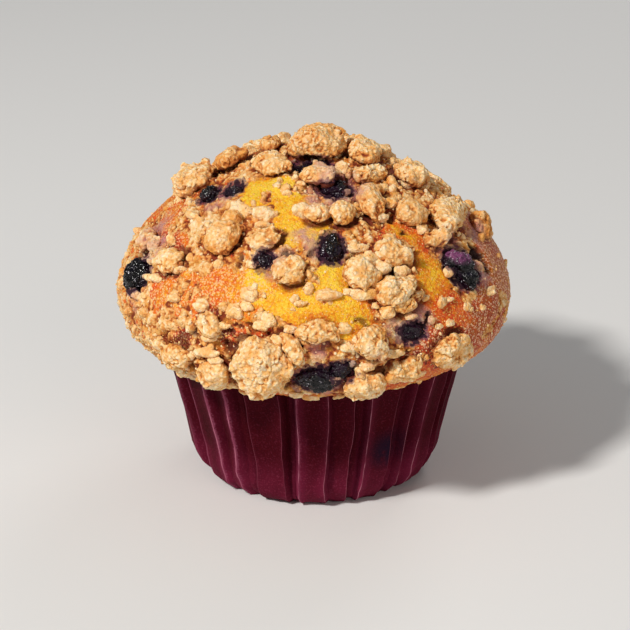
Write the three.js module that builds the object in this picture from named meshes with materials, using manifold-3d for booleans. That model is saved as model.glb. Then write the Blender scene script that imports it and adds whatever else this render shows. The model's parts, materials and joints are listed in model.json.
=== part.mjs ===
// A large bakery muffin: a domed cake that has risen over the rim of its pleated paper case,
// with berries baked into the dome and lumps of butter crumble on top.
//
// Millimetres, +Z up. The origin is the centre of the case's flat underside and -Y is the front.
// A place on the cap is given by its turn, 0 at the front and growing towards +X, and by its
// rise above the level of the cap's widest ring, both in degrees and seen from the cap's centre.

import * as THREE from 'three';
import { mergeVertices } from 'three/addons/utils/BufferGeometryUtils.js';
import Module from 'manifold-3d';

const wasm = await Module();
wasm.setup();

// ---------------------------------------------------------------- driving dimensions

const CAP_RADIUS = 48.4;
const CAP_CENTRE_HEIGHT = 48.5;
const CAP_RISE = 35;
const CAP_DROP = 21;
const CAP_TOP_POWER = 1.7;
const CAP_UNDER_POWER = 2.4;
const CAP_LOWEST_RISE = -20;
const SWELL_HEIGHT = 0.9;

const CASE_HEIGHT = 32.6;
const CASE_FLOOR_RADIUS = 26.4;
const CASE_CORNER_RADIUS = 32.4;
const CASE_CORNER_HEIGHT = 12.8;
const CASE_RIM_RADIUS = 37.6;
const PAPER_THICKNESS = 0.5;
const PLEAT_DEPTH = 1.9;
const BACK_PLEATS = 12;

// Pieces that lie against each other keep this gap.
const GAP = 0.3;

const CAKE_SEGMENTS = 40;
const CAP_RINGS = 12;
const CORNER_ANGLES = [0, 30, 60, 90];

// Faces round and faces from pole to pole of a small body, and of the largest lumps.
const SMALL_FACES = [8, 5];
const LARGE_FACES = [10, 6];
const LARGE_WIDTH = 12;

// Fold lines of the case's front, as turn and how far out the paper stands: 1 is a ridge and
// 0 the bottom of a groove. Wide panels alternate with narrow grooves, as pressed paper opens.
const FRONT_FOLDS = [
  [-82, 0.9], [-72.6, 1], [-69, 0.1], [-61, 0.1], [-59, 0.7], [-47, 1], [-44, 0.5], [-36.7, 1],
  [-33, 0.3], [-29.5, 0.4], [-27.1, 0.9], [-13.4, 1], [-11.5, 0], [-8.6, 0], [-6.9, 0.9],
  [5, 1], [7, 0.5], [15, 0.9], [16.6, 0], [20, 0], [21.7, 0.9], [33.2, 1], [35.5, 0.1],
  [39.5, 0.2], [41.6, 1], [44, 0], [48, 0], [50.6, 0.9], [60.7, 1], [63, 0.1], [67, 0.2],
  [69.4, 0.9], [80, 1], [83, 0.1],
];

// Berries: turn, rise, length along the turn, length up the slope, and spin about the surface.
// Each is sunk below the smooth cap by a share of its thickness.
const BERRY_SINK_SHARE = 0.27;
const BERRY_DEPTH_SHARE = 0.92;
const BERRIES = [
  [-65, 43.5, 5.4, 6, 0],
  [-54.5, 50.5, 5, 4.8, 0],
  [14.5, 58, 8.8, 8, 0],
  [6.5, 30.5, 8.6, 9.4, 0],
  [-18, 26, 5.4, 5.8, 0],
  [-70.5, 10, 8.8, 8.4, 0],
  [51, 16, 8.4, 12.4, 24],
  [27.5, 4.5, 7.8, 6.8, -20],
  [-0.5, -7, 9, 9, 0],
  [9.6, -2.8, 7.2, 6.8, 0],
  [-6, 73.5, 9, 6.4, 0],
  [152, 36, 9, 8.2, 15],
  [-138, 16, 9.4, 8.6, 0],
  [178, 2, 8.6, 9, 40],
];

// Lumps of crumble: turn, rise, length along the turn, length up the slope, thickness and spin.
const CRUMBLE = [
  [2, 84, 15, 12.5, 10.8, 10],
  [80, 70.5, 13, 9.5, 6.8, 0],
  [-46, 66, 10, 8.5, 6.4, 20],
  [-94, 56, 11.4, 9, 6.4, 0],
  [-88, 41, 11.4, 10.4, 8, 0],
  [46, 60, 10.5, 6, 5, -15],
  [75, 51, 12, 10, 6.2, 0],
  [13, 43.5, 7, 6.6, 6, 0],
  [30.5, 47, 7.2, 12, 6, -24],
  [45, 38, 8, 8, 6.6, 0],
  [63, 32.5, 14, 9.2, 6.4, 15],
  [77.5, 22.5, 8.4, 8.4, 5.2, 0],
  [47, 27.5, 7, 4.6, 4, -25],
  [28, 27, 10.5, 7.5, 5.6, 0],
  [14.5, 21.5, 7.4, 8.4, 6, 0],
  [24, 15.5, 10.5, 6.4, 6, 10],
  [-19, 33, 8, 6, 5, 15],
  [-8.5, 23, 8, 7, 5, 0],
  [-36.5, 30.5, 9.6, 10.6, 6.6, 0],
  [-52, 19, 8, 7, 5.4, 0],
  [-30.5, 5.5, 6.8, 7, 5.6, 0],
  [-14.5, -4, 14, 16, 9, 0],
  [-41, -5.5, 10, 8.6, 5.6, 20],
  [-29.5, -9, 8.6, 9, 5.6, 0],
  [14, -10, 11.5, 8.5, 7, 0],
  [39, -3.5, 11, 9.5, 5, -15],
  [1, 6.5, 11, 5.6, 5.4, 5],
  [15.5, 3, 9.4, 8.6, 5.4, 0],
  [28, 12, 9, 4.6, 4, 24],
  [-6.2, 2, 5.6, 6, 5, 0],
  [24.5, -7, 9.6, 6, 4, 18],
  [1.5, 44, 7.6, 5.4, 5, 0],
  [-100, 72, 8, 6, 5.4, 0],
  [5, 64, 11, 6.6, 5, 0],
  [-73, 19, 7, 7.4, 5, 0],
  [134, 18, 10.5, 9.5, 6.2, 20],
  [172, 44, 11.5, 8.6, 6.8, -30],
  [188, 25, 9.4, 10.5, 6.6, 60],
  [208, 36, 8.8, 10.8, 6.4, 15],
  [238, 6, 11, 9.4, 6.2, -20],
  [158, 12, 12, 9.6, 7, 40],
  [216, -6, 10.4, 9, 6.6, 30],
  [114, -9, 9.6, 8.6, 6, 0],
];

// ---------------------------------------------------------------- places on the cap

function direction(turn, rise) {
  const level = Math.cos(rise);
  return new THREE.Vector3(level * Math.sin(turn), -level * Math.cos(turn), Math.sin(rise));
}

// Distance from the cap's centre to its smooth outline: a pointed superellipse above the widest
// ring, and a full one where the cap hangs over the case.
function outlineDistance(rise) {
  const above = rise >= 0;
  const power = above ? CAP_TOP_POWER : CAP_UNDER_POWER;
  const height = above ? CAP_RISE : CAP_DROP;
  const across = (Math.cos(rise) / CAP_RADIUS) ** power;
  const along = (Math.abs(Math.sin(rise)) / height) ** power;
  return (across + along) ** (-1 / power);
}

// Broad uneven swellings of the risen cake, fading out towards the rim of the case.
function swell(way) {
  const broad = Math.sin(3.9 * way.x + 1.1) * Math.sin(3.3 * way.y + 0.4);
  const middling = Math.sin(6.1 * way.y - 4.3 * way.z + 2.0) * Math.sin(5.2 * way.x + 0.7);
  const fade = THREE.MathUtils.smoothstep(way.z, -0.34, -0.1);
  return SWELL_HEIGHT * fade * (broad + 0.6 * middling);
}

function capPoint(turn, rise, lift) {
  const way = direction(turn, rise);
  const distance = outlineDistance(rise) + swell(way) + lift;
  return way.multiplyScalar(distance).add(new THREE.Vector3(0, 0, CAP_CENTRE_HEIGHT));
}

// The placement of a piece on the cap: its X axis runs along the turn, Y up the slope, Z out.
function seatMatrix(turnDegrees, riseDegrees, spinDegrees, lift) {
  const step = 0.02;
  const turn = THREE.MathUtils.degToRad(turnDegrees);
  const rise = THREE.MathUtils.degToRad(riseDegrees);
  const seat = capPoint(turn, rise, 0);
  const along = capPoint(turn + step, rise, 0).sub(capPoint(turn - step, rise, 0)).normalize();
  const up = capPoint(turn, rise + step, 0).sub(capPoint(turn, rise - step, 0));
  const out = along.clone().cross(up).normalize();
  up.crossVectors(out, along);
  const spin = new THREE.Matrix4().makeRotationZ(THREE.MathUtils.degToRad(spinDegrees));
  const matrix = new THREE.Matrix4().makeBasis(along, up, out).multiply(spin);
  return matrix.setPosition(seat.addScaledVector(out, lift));
}

// ---------------------------------------------------------------- closed skins and cuts

// A closed surface through rings of equal length, with a point closing each end. The rings run
// so that the surface faces away from the axis where it climbs.
function closedSkin(firstPoint, rings, lastPoint) {
  const count = rings[0].length;
  const points = [firstPoint, ...rings.flat(), lastPoint];
  const last = points.length - 1;
  const faces = [];
  for (let k = 0; k < count; k += 1) {
    const next = (k + 1) % count;
    faces.push(0, 1 + next, 1 + k);
    for (let ring = 0; ring < rings.length - 1; ring += 1) {
      const low = 1 + ring * count;
      const high = low + count;
      faces.push(low + k, low + next, high + next);
      faces.push(low + k, high + next, high + k);
    }
    const top = last - count;
    faces.push(top + k, top + next, last);
  }
  const geometry = new THREE.BufferGeometry().setFromPoints(points);
  geometry.setIndex(faces);
  return geometry;
}

function toSolid(geometry) {
  return new wasm.Manifold(new wasm.Mesh({
    numProp: 3,
    vertProperties: new Float32Array(geometry.attributes.position.array),
    triVerts: new Uint32Array(geometry.index.array),
  }));
}

function toGeometry(solid) {
  const mesh = solid.getMesh();
  const geometry = new THREE.BufferGeometry();
  geometry.setAttribute('position', new THREE.BufferAttribute(mesh.vertProperties, 3));
  geometry.setIndex(new THREE.BufferAttribute(mesh.triVerts, 1));
  return geometry;
}

// A rounded body from a sphere with its poles on Z, each of whose points is moved by reshape.
function roundedBody([around, poleToPole], reshape) {
  const raw = new THREE.SphereGeometry(1, around, poleToPole);
  raw.rotateX(Math.PI / 2);
  raw.deleteAttribute('normal');
  raw.deleteAttribute('uv');
  const geometry = mergeVertices(raw, 1e-4);
  const position = geometry.attributes.position;
  const point = new THREE.Vector3();
  for (let k = 0; k < position.count; k += 1) {
    point.fromBufferAttribute(position, k);
    reshape(point);
    position.setXYZ(k, point.x, point.y, point.z);
  }
  return geometry;
}

// ---------------------------------------------------------------- paper case

// Radius of the case's ridges at a corner angle: 0 is the edge of the flat floor and 90 the
// foot of the straight wall.
function cornerRadius(angle) {
  return CASE_FLOOR_RADIUS + (CASE_CORNER_RADIUS - CASE_FLOOR_RADIUS) * Math.sin(angle);
}

function cornerHeight(angle) {
  return CASE_CORNER_HEIGHT * (1 - Math.cos(angle));
}

function pleatDepthAt(height) {
  return PLEAT_DEPTH * (0.45 + 0.55 * Math.min(1, height / CASE_CORNER_HEIGHT));
}

function caseFolds() {
  const first = FRONT_FOLDS[FRONT_FOLDS.length - 1][0];
  const last = FRONT_FOLDS[0][0] + 360;
  const pitch = (last - first) / BACK_PLEATS;
  const folds = [...FRONT_FOLDS];
  for (let k = 0; k < BACK_PLEATS; k += 1) {
    const start = first + k * pitch;
    const ridge = pitch * (0.32 + 0.06 * Math.sin(2.4 * k));
    const fall = pitch * (0.8 + 0.05 * Math.sin(1.7 * k + 1));
    folds.push([start + ridge, 0.85 + 0.15 * Math.sin(3.1 * k)]);
    folds.push([start + fall, 1]);
    if (k < BACK_PLEATS - 1) {
      folds.push([start + fall + 2.2, 0.1]);
      folds.push([start + pitch + 0.6, 0.05]);
    }
  }
  return folds.map(([turn, out]) => [THREE.MathUtils.degToRad(turn), out]);
}

function foldedRing(folds, radius, height, depth) {
  return folds.map(([turn, out]) => {
    const reach = radius - depth * (1 - out);
    return new THREE.Vector3(reach * Math.sin(turn), -reach * Math.cos(turn), height);
  });
}

function paperCaseGeometry() {
  const folds = caseFolds();
  const outside = [];
  const inside = [];
  for (const degrees of CORNER_ANGLES) {
    const angle = THREE.MathUtils.degToRad(degrees);
    const radius = cornerRadius(angle);
    const height = cornerHeight(angle);
    const depth = pleatDepthAt(height);
    const inset = PAPER_THICKNESS * Math.max(0.6, Math.sin(angle));
    const raise = PAPER_THICKNESS * Math.cos(angle);
    outside.push(foldedRing(folds, radius, height, depth));
    inside.unshift(foldedRing(folds, radius - inset, height + raise, depth));
  }
  outside.push(foldedRing(folds, CASE_RIM_RADIUS, CASE_HEIGHT, PLEAT_DEPTH));
  inside.unshift(foldedRing(folds, CASE_RIM_RADIUS - PAPER_THICKNESS, CASE_HEIGHT, PLEAT_DEPTH));
  const underside = new THREE.Vector3(0, 0, 0);
  const floor = new THREE.Vector3(0, 0, PAPER_THICKNESS);
  return closedSkin(underside, [...outside, ...inside], floor);
}

// ---------------------------------------------------------------- cake

function roundRing(radius, height) {
  const ring = [];
  for (let k = 0; k < CAKE_SEGMENTS; k += 1) {
    const turn = (k / CAKE_SEGMENTS) * 2 * Math.PI;
    ring.push(new THREE.Vector3(radius * Math.sin(turn), -radius * Math.cos(turn), height));
  }
  return ring;
}

// The cake from the floor of the case to the top of the cap. Growing it moves the cap outwards
// and leaves the part inside the case as it is.
function cakeGeometry(grow) {
  const clearance = PAPER_THICKNESS + GAP + 0.1;
  const rings = [];
  for (const degrees of CORNER_ANGLES) {
    const angle = THREE.MathUtils.degToRad(degrees);
    const height = cornerHeight(angle);
    const radius = cornerRadius(angle) - pleatDepthAt(height) - clearance;
    rings.push(roundRing(radius, height + clearance * Math.cos(angle)));
  }
  rings.push(roundRing(CASE_RIM_RADIUS - PLEAT_DEPTH - clearance, CASE_HEIGHT + 2 * GAP));
  for (let ring = 0; ring < CAP_RINGS; ring += 1) {
    const share = ring / CAP_RINGS;
    const rise = THREE.MathUtils.degToRad(CAP_LOWEST_RISE + share * (90 - CAP_LOWEST_RISE));
    const points = [];
    for (let k = 0; k < CAKE_SEGMENTS; k += 1) {
      points.push(capPoint((k / CAKE_SEGMENTS) * 2 * Math.PI, rise, grow));
    }
    rings.push(points);
  }
  const bottom = new THREE.Vector3(0, 0, clearance);
  return closedSkin(bottom, rings, capPoint(0, Math.PI / 2, grow));
}

// ---------------------------------------------------------------- berries

function berryGeometry([turn, rise, width, length, spin], index, grow) {
  const thickness = BERRY_DEPTH_SHARE * Math.min(width, length);
  const size = new THREE.Vector3(width / 2 + grow, length / 2 + grow, thickness / 2 + grow);
  const geometry = roundedBody(SMALL_FACES, (point) => {
    const wrinkle = 1 + 0.04 * Math.sin(4 * point.x + index) * Math.cos(5 * point.y - index);
    point.multiply(size).multiplyScalar(wrinkle);
  });
  return geometry.applyMatrix4(seatMatrix(turn, rise, spin, -BERRY_SINK_SHARE * thickness));
}

// ---------------------------------------------------------------- crumble

// A lump is a flattened knobbly ball, set deep enough for its foot to be cut by the cake.
function crumbleGeometry([turn, rise, width, length, thickness, spin], index, grow) {
  const size = new THREE.Vector3(width / 2 + grow, length / 2 + grow, thickness / 2 + grow);
  const faces = width > LARGE_WIDTH ? LARGE_FACES : SMALL_FACES;
  const geometry = roundedBody(faces, (point) => {
    const knobs = Math.sin(3.4 * point.x + 1.9 * index) * Math.sin(3.9 * point.y + 0.8 * index);
    const bumps = Math.sin(6.2 * point.x - index) * Math.sin(5.7 * point.z + 2 * point.y);
    point.multiply(size).multiplyScalar(1 + 0.1 * knobs + 0.06 * bumps);
  });
  return geometry.applyMatrix4(seatMatrix(turn, rise, spin, 0.12 * thickness));
}

// ---------------------------------------------------------------- assembly

const cakeCrust = new THREE.MeshStandardMaterial({ color: '#dc9c4c', roughness: 0.75, metalness: 0 });
const butterCrumble = new THREE.MeshStandardMaterial({ color: '#efc488', roughness: 0.85, metalness: 0 });
const berrySkin = new THREE.MeshStandardMaterial({ color: '#292026', roughness: 0.35, metalness: 0 });
const burgundyPaper = new THREE.MeshStandardMaterial({ color: '#541722', roughness: 0.6, metalness: 0 });

function namedMesh(name, geometry, material) {
  geometry.computeVertexNormals();
  const mesh = new THREE.Mesh(geometry, material.clone());
  mesh.name = name;
  return mesh;
}

function numbered(stem, index) {
  return `${stem}_${String(index + 1).padStart(2, '0')}`;
}

function berryMeshes() {
  return BERRIES.map((berry, index) => (
    namedMesh(numbered('berry', index), berryGeometry(berry, index, 0), berrySkin)
  ));
}

// The cake with a socket under each berry.
function cakeMesh(berryRoom) {
  let cake = toSolid(cakeGeometry(0));
  for (const room of berryRoom) {
    cake = cake.subtract(room);
  }
  return namedMesh('cake', toGeometry(cake), cakeCrust);
}

// Each lump is cut by the cake under it, by the berries and by the lumps already laid.
function crumbleMeshes(berryRoom) {
  const taken = [toSolid(cakeGeometry(GAP)), ...berryRoom];
  return CRUMBLE.map((lump, index) => {
    let solid = toSolid(crumbleGeometry(lump, index, 0));
    for (const other of taken) {
      solid = solid.subtract(other);
    }
    taken.push(toSolid(crumbleGeometry(lump, index, GAP)));
    return namedMesh(numbered('crumble', index), toGeometry(solid), butterCrumble);
  });
}

const berryRoom = BERRIES.map((berry, index) => toSolid(berryGeometry(berry, index, GAP)));
const muffin = new THREE.Group();
muffin.add(namedMesh('paper_case', paperCaseGeometry(), burgundyPaper));
muffin.add(cakeMesh(berryRoom));
muffin.add(...berryMeshes());
muffin.add(...crumbleMeshes(berryRoom));

export default muffin;
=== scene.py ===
# %% [markdown]
# # A berry muffin with butter crumble
#
# The real thing is a soft cake that rises out of a pleated paper case into a wide cap. Berries
# are baked into the cap, and a rubbed mix of butter, flour and sugar lies on it, from single
# grains to lumps as wide as a thumb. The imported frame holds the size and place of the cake,
# the case, each berry and each large lump. Here every one of them gets its real surface.

# %% Load the frame
import json
import math

import bpy
import numpy as np
from mathutils import Matrix, Vector, kdtree, noise

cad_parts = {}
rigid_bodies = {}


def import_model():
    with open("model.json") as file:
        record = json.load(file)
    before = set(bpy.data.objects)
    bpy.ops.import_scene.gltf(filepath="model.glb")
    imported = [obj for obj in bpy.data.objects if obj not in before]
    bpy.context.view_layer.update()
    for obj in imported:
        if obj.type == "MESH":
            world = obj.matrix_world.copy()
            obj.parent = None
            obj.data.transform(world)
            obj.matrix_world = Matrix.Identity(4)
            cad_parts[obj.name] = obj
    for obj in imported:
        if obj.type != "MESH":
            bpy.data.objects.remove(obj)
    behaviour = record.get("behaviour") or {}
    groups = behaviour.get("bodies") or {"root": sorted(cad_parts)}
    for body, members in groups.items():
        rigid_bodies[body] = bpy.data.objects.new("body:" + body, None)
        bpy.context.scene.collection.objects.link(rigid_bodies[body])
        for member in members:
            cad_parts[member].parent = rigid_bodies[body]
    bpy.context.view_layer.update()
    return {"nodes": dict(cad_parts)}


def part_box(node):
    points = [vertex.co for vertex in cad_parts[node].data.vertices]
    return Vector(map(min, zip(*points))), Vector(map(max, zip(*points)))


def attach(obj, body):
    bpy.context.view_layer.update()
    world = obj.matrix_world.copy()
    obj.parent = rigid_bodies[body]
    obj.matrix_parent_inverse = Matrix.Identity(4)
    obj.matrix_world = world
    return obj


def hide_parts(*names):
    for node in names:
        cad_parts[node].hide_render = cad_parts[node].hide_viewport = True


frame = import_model()
MM = 0.001
LUMPS = sorted(name for name in frame["nodes"] if name.startswith("crumble_"))
BERRIES = sorted(name for name in frame["nodes"] if name.startswith("berry_"))
print("frame holds", len(LUMPS), "lumps and", len(BERRIES), "berries")

# %% [markdown]
# ## Camera, light and floor
#
# The muffin is seen from a little above through a long lens, which keeps its case from
# tapering. One lamp high on the left gives the rough surface its small shadows, a wide soft
# one in front opens the dark side, and the pale room fills the rest. All stand far enough
# away to leave the other views clear.

# %% Place the camera
VIEW_RISE = math.radians(21.5)
VIEW_DISTANCE = 500 * MM
VIEW_WIDTH = 157.5 * MM
AIM_HEIGHT = 39.3 * MM
SENSOR = 36.0

camera_data = bpy.data.cameras.new("camera")
camera_data.sensor_width = SENSOR
camera_data.lens = SENSOR * VIEW_DISTANCE / VIEW_WIDTH
camera_data.clip_start = 10 * MM
camera = bpy.data.objects.new("camera", camera_data)
bpy.context.scene.collection.objects.link(camera)
camera.location = (
    0,
    -VIEW_DISTANCE * math.cos(VIEW_RISE),
    AIM_HEIGHT + VIEW_DISTANCE * math.sin(VIEW_RISE),
)
camera.rotation_euler = (math.pi / 2 - VIEW_RISE, 0, 0)
bpy.context.scene.camera = camera
print("lens", round(camera_data.lens, 1), "mm")

# %% Hang the lamps and lay the floor
LAMP_AIM = Vector((0, 0, 45 * MM))


def add_lamp(name, where, size, watts, tint):
    """A square lamp at where, in metres, turned to the middle of the muffin."""
    lamp_data = bpy.data.lights.new(name, "AREA")
    lamp_data.size = size
    lamp_data.energy = watts
    lamp_data.color = tint
    lamp = bpy.data.objects.new(name, lamp_data)
    bpy.context.scene.collection.objects.link(lamp)
    lamp.location = where
    lamp.rotation_euler = (LAMP_AIM - lamp.location).to_track_quat("-Z", "Y").to_euler()


add_lamp("key_lamp", (-0.74, -0.78, 1.04), 0.17, 19.2, (1.0, 0.97, 0.92))
add_lamp("front_lamp", (0.8, -1.1, 0.6), 0.9, 3.5, (1.0, 0.9, 0.82))
add_lamp("back_lamp", (0.6, 1.1, 0.9), 0.6, 4.0, (1.0, 0.98, 0.95))

world = bpy.data.worlds.new("pale room")
world.use_nodes = True
room = world.node_tree.nodes["Background"]
room.inputs["Color"].default_value = (0.80, 0.82, 0.84, 1)
room.inputs["Strength"].default_value = 0.2
bpy.context.scene.world = world
bpy.context.scene.view_settings.view_transform = "Standard"

bpy.ops.mesh.primitive_plane_add(size=12)
floor = bpy.context.object
floor.name = "floor"

# %% [markdown]
# ## Helpers for single pieces
#
# An operator acts on everything that is selected, so each piece is selected alone before it
# is worked on. A copy of a frame solid is loose triangles, so its doubles are merged first.
# Noise and soft steps on arrays of points decide where crumble, colour and stains lie.

# %% Select, apply and copy
DOUBLES = 0.01 * MM


def alone(piece):
    """Selects piece and nothing else."""
    bpy.ops.object.select_all(action="DESELECT")
    piece.select_set(True)
    bpy.context.view_layer.objects.active = piece


def edit_mode():
    bpy.ops.object.mode_set(mode="EDIT")


def object_mode():
    bpy.ops.object.mode_set(mode="OBJECT")


def apply_modifiers(piece):
    """Applies every modifier on piece, from the first to the last."""
    alone(piece)
    for name in [modifier.name for modifier in piece.modifiers]:
        bpy.ops.object.modifier_apply(modifier=name)


def own_copy(source, name):
    """A free copy of an object with a mesh of its own."""
    piece = bpy.data.objects.new(name, source.data.copy())
    piece.data.name = name
    piece.data.materials.clear()
    bpy.context.scene.collection.objects.link(piece)
    return piece


def dress(piece, material):
    """Gives piece one material and smooth shading."""
    piece.data.materials.clear()
    piece.data.materials.append(material)
    first_slot = np.zeros(len(piece.data.polygons), np.int32)
    piece.data.polygons.foreach_set("material_index", first_slot)
    alone(piece)
    bpy.ops.object.shade_smooth()


def merged_copy(node, name):
    """A free copy of a frame solid with its loose triangles joined."""
    piece = own_copy(frame["nodes"][node], name)
    alone(piece)
    edit_mode()
    bpy.ops.mesh.select_all(action="SELECT")
    bpy.ops.mesh.remove_doubles(threshold=DOUBLES)
    object_mode()
    return piece


# %% Read, move and mark points
def points_of(piece):
    """The piece's points as an array, in metres."""
    points = np.zeros(len(piece.data.vertices) * 3)
    piece.data.vertices.foreach_get("co", points)
    return points.reshape(-1, 3)


def move_points(piece, points):
    piece.data.vertices.foreach_set("co", points.ravel())
    piece.data.update()


def store(piece, name, values):
    """Keeps one number for each point, for node trees to read by name."""
    layer = piece.data.attributes.get(name)
    if layer is None:
        layer = piece.data.attributes.new(name, "FLOAT", "POINT")
    layer.data.foreach_set("value", np.asarray(values, np.float32))


def recall(piece, name):
    """The numbers that store kept under that name."""
    values = np.zeros(len(piece.data.vertices), np.float32)
    piece.data.attributes[name].data.foreach_get("value", values)
    return values


def rough(points, size, seed=0.0):
    """Smooth noise between about -1 and 1 at each point, with features of that size."""
    scaled = points / size + seed
    return np.array([noise.noise(Vector(p)) for p in scaled]) * 1.6


def ease(values, low, high):
    """0 below low, 1 above high, and a smooth step between."""
    share = np.clip((values - low) / (high - low), 0, 1)
    return share * share * (3 - 2 * share)


# %% [markdown]
# ## Node trees written as sums
#
# A material or a geometry tree is a long chain of small calculations. Wire stands for one
# socket and lets Python's own signs add the Math nodes, so that a mask reads as a formula.
# Net adds every other kind of node, in shader trees and in geometry trees alike.

# %% Wire
class Wire:
    """One output socket. Sums and products of wires add Math nodes to their tree."""

    def __init__(self, net, socket):
        self.net = net
        self.socket = socket

    def math(self, operation, *values):
        settings = {"operation": operation}
        return self.net.add("ShaderNodeMath", settings, dict(enumerate(values)))

    def __add__(self, other):
        return self.math("ADD", self, other)

    def __sub__(self, other):
        return self.math("SUBTRACT", self, other)

    def __rsub__(self, other):
        return self.math("SUBTRACT", other, self)

    def __mul__(self, other):
        return self.math("MULTIPLY", self, other)

    def ease(self, low, high):
        """0 below low, 1 above high, and a smooth step between."""
        settings = {"interpolation_type": "SMOOTHSTEP"}
        inputs = {"Value": self, "From Min": low, "From Max": high}
        return self.net.add("ShaderNodeMapRange", settings, inputs)

    __radd__ = __add__
    __rmul__ = __mul__


# %% Net
class Net:
    """A node tree that is built by calls. Each kind of tree sets its own place."""

    def __init__(self, tree):
        self.tree = tree
        self.place = None

    def add(self, kind, settings=None, inputs=None, output=0):
        """Adds a node, sets it, fills its sockets with values or wires, gives one output."""
        node = self.tree.nodes.new(kind)
        for key, value in (settings or {}).items():
            if key == "stops":
                self.set_stops(node.color_ramp.elements, value)
            else:
                setattr(node, key, value)
        for key, value in (inputs or {}).items():
            if isinstance(value, Wire):
                self.tree.links.new(value.socket, node.inputs[key])
            else:
                node.inputs[key].default_value = value
        return Wire(self, node.outputs[output]) if node.outputs else None

    def set_stops(self, elements, stops):
        while len(elements) < len(stops):
            elements.new(1)
        for element, (position, colour) in zip(elements, stops):
            element.position = position
            element.color = colour

    def noise(self, size, detail=2.0):
        """Noise from 0 to 1 with features of that size in metres."""
        inputs = {"Vector": self.place, "Scale": 1 / size, "Detail": detail}
        return self.add("ShaderNodeTexNoise", None, inputs)

    def grains(self, size):
        """1 in the middle of each grain of about that size and 0 in the gaps between."""
        settings = {"feature": "SMOOTH_F1"}
        inputs = {"Vector": self.place, "Scale": 1 / size, "Smoothness": 0.25}
        distance = self.add("ShaderNodeTexVoronoi", settings, inputs)
        return 1 - distance.ease(0.1, 0.75)

    def cracks(self, size, width):
        """1 along thin wandering lines and 0 between them."""
        offset = self.noise(size) - 0.5
        return 1 - offset.math("ABSOLUTE", offset).ease(0, width)

    def mix(self, share, first, second):
        """A colour between first and second."""
        inputs = {0: share, 6: first, 7: second}
        return self.add("ShaderNodeMix", {"data_type": "RGBA"}, inputs, 2)

    def ramp(self, value, stops):
        return self.add("ShaderNodeValToRGB", {"stops": stops}, {"Fac": value})


# %% [markdown]
# ## Materials and relief
#
# Each finish starts as a shader with its fixed values set on its own sockets. What changes
# over the surface, which is colour, roughness and fine relief, is joined at the end. Relief
# that can be seen in outline is real: a geometry tree moves the points along their normals
# and keeps how high each one stands, so that a material can paint the hollows darker, which
# is painted shade.

# %% Start and finish a material
def srgb(red, green, blue):
    """A screen colour from 0 to 255 as the linear colour that shaders take."""
    shares = [channel / 255 for channel in (red, green, blue)]
    linear = [s / 12.92 if s <= 0.04045 else ((s + 0.055) / 1.055) ** 2.4 for s in shares]
    return (*linear, 1.0)


class Finish(Net):
    """A material's tree, with fixed values set on its shader."""

    def __init__(self, name, constants):
        self.material = bpy.data.materials.new(name)
        self.material.use_nodes = True
        super().__init__(self.material.node_tree)
        self.shader = self.tree.nodes["Principled BSDF"]
        for key, value in constants.items():
            self.shader.inputs[key].default_value = value
        self.place = self.add("ShaderNodeTexCoord", output="Object")

    def field(self, name):
        return self.add("ShaderNodeAttribute", {"attribute_name": name}, None, "Fac")

    def done(self, colour, height=None, depth=0.1 * MM, roughness=None):
        """Joins colour, relief and roughness to the shader."""
        self.tree.links.new(colour.socket, self.shader.inputs["Base Color"])
        if height is not None:
            bump = self.add("ShaderNodeBump", None, {"Height": height, "Distance": depth})
            self.tree.links.new(bump.socket, self.shader.inputs["Normal"])
        if roughness is not None:
            self.tree.links.new(roughness.socket, self.shader.inputs["Roughness"])
        return self.material


# %% Geometry trees
# How many points are tried for each place that has room for one.
CROWDING = 1.2


class Shaping(Net):
    """A geometry tree, from the geometry that comes in to the one that goes out."""

    def __init__(self, name):
        super().__init__(bpy.data.node_groups.new(name, "GeometryNodeTree"))
        for way in ("INPUT", "OUTPUT"):
            self.tree.interface.new_socket(
                "Geometry", in_out=way, socket_type="NodeSocketGeometry"
            )
        self.start = self.add("NodeGroupInput")
        self.place = self.add("GeometryNodeInputPosition")

    def field(self, name):
        return self.add("GeometryNodeInputNamedAttribute", None, {"Name": name})

    def keep(self, geometry, name, value, domain="POINT"):
        inputs = {"Geometry": geometry, "Name": name, "Value": value}
        return self.add("GeometryNodeStoreNamedAttribute", {"domain": domain}, inputs)

    def moved(self, geometry, offset):
        inputs = {"Geometry": geometry, "Offset": offset}
        return self.add("GeometryNodeSetPosition", None, inputs)

    def scaled(self, vector, share):
        inputs = {"Vector": vector, "Scale": share}
        return self.add("ShaderNodeVectorMath", {"operation": "SCALE"}, inputs)

    def chance(self, seed):
        """A random number from 0 to 1 for each point."""
        return self.add("FunctionNodeRandomValue", {"data_type": "FLOAT"}, {"Seed": seed}, 1)

    def size(self, least, most, seed):
        """A random size for each point, oftener near the least than near the most."""
        chance = self.chance(seed)
        return least + (most - least) * (chance * chance)

    def turn(self, most, seed):
        """A random turn for each point, of up to most about each axis."""
        inputs = {1: (most, most, most), "Seed": seed}
        return self.add("FunctionNodeRandomValue", {"data_type": "FLOAT_VECTOR"}, inputs)

    def scatter(self, density, spacing, seed):
        """Points on the skin that comes in, never closer to each other than spacing."""
        settings = {"distribute_method": "POISSON"}
        inputs = {"Mesh": self.start, "Distance Min": spacing, "Density Factor": density}
        inputs.update({"Density Max": CROWDING / spacing**2, "Seed": seed})
        return self.add("GeometryNodeDistributePointsOnFaces", settings, inputs)

    def done(self, geometry):
        self.add("NodeGroupOutput", None, {"Geometry": geometry})
        return self.tree


def relief_tree(name, build):
    """Moves points out by what build returns and keeps what it calls raised."""
    net = Shaping(name)
    height, raised = build(net)
    offset = net.scaled(net.add("GeometryNodeInputNormal"), height)
    return net.done(net.moved(net.keep(net.start, "raised", raised), offset))


def shape_by(piece, tree):
    piece.modifiers.new(tree.name, "NODES").node_group = tree


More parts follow.
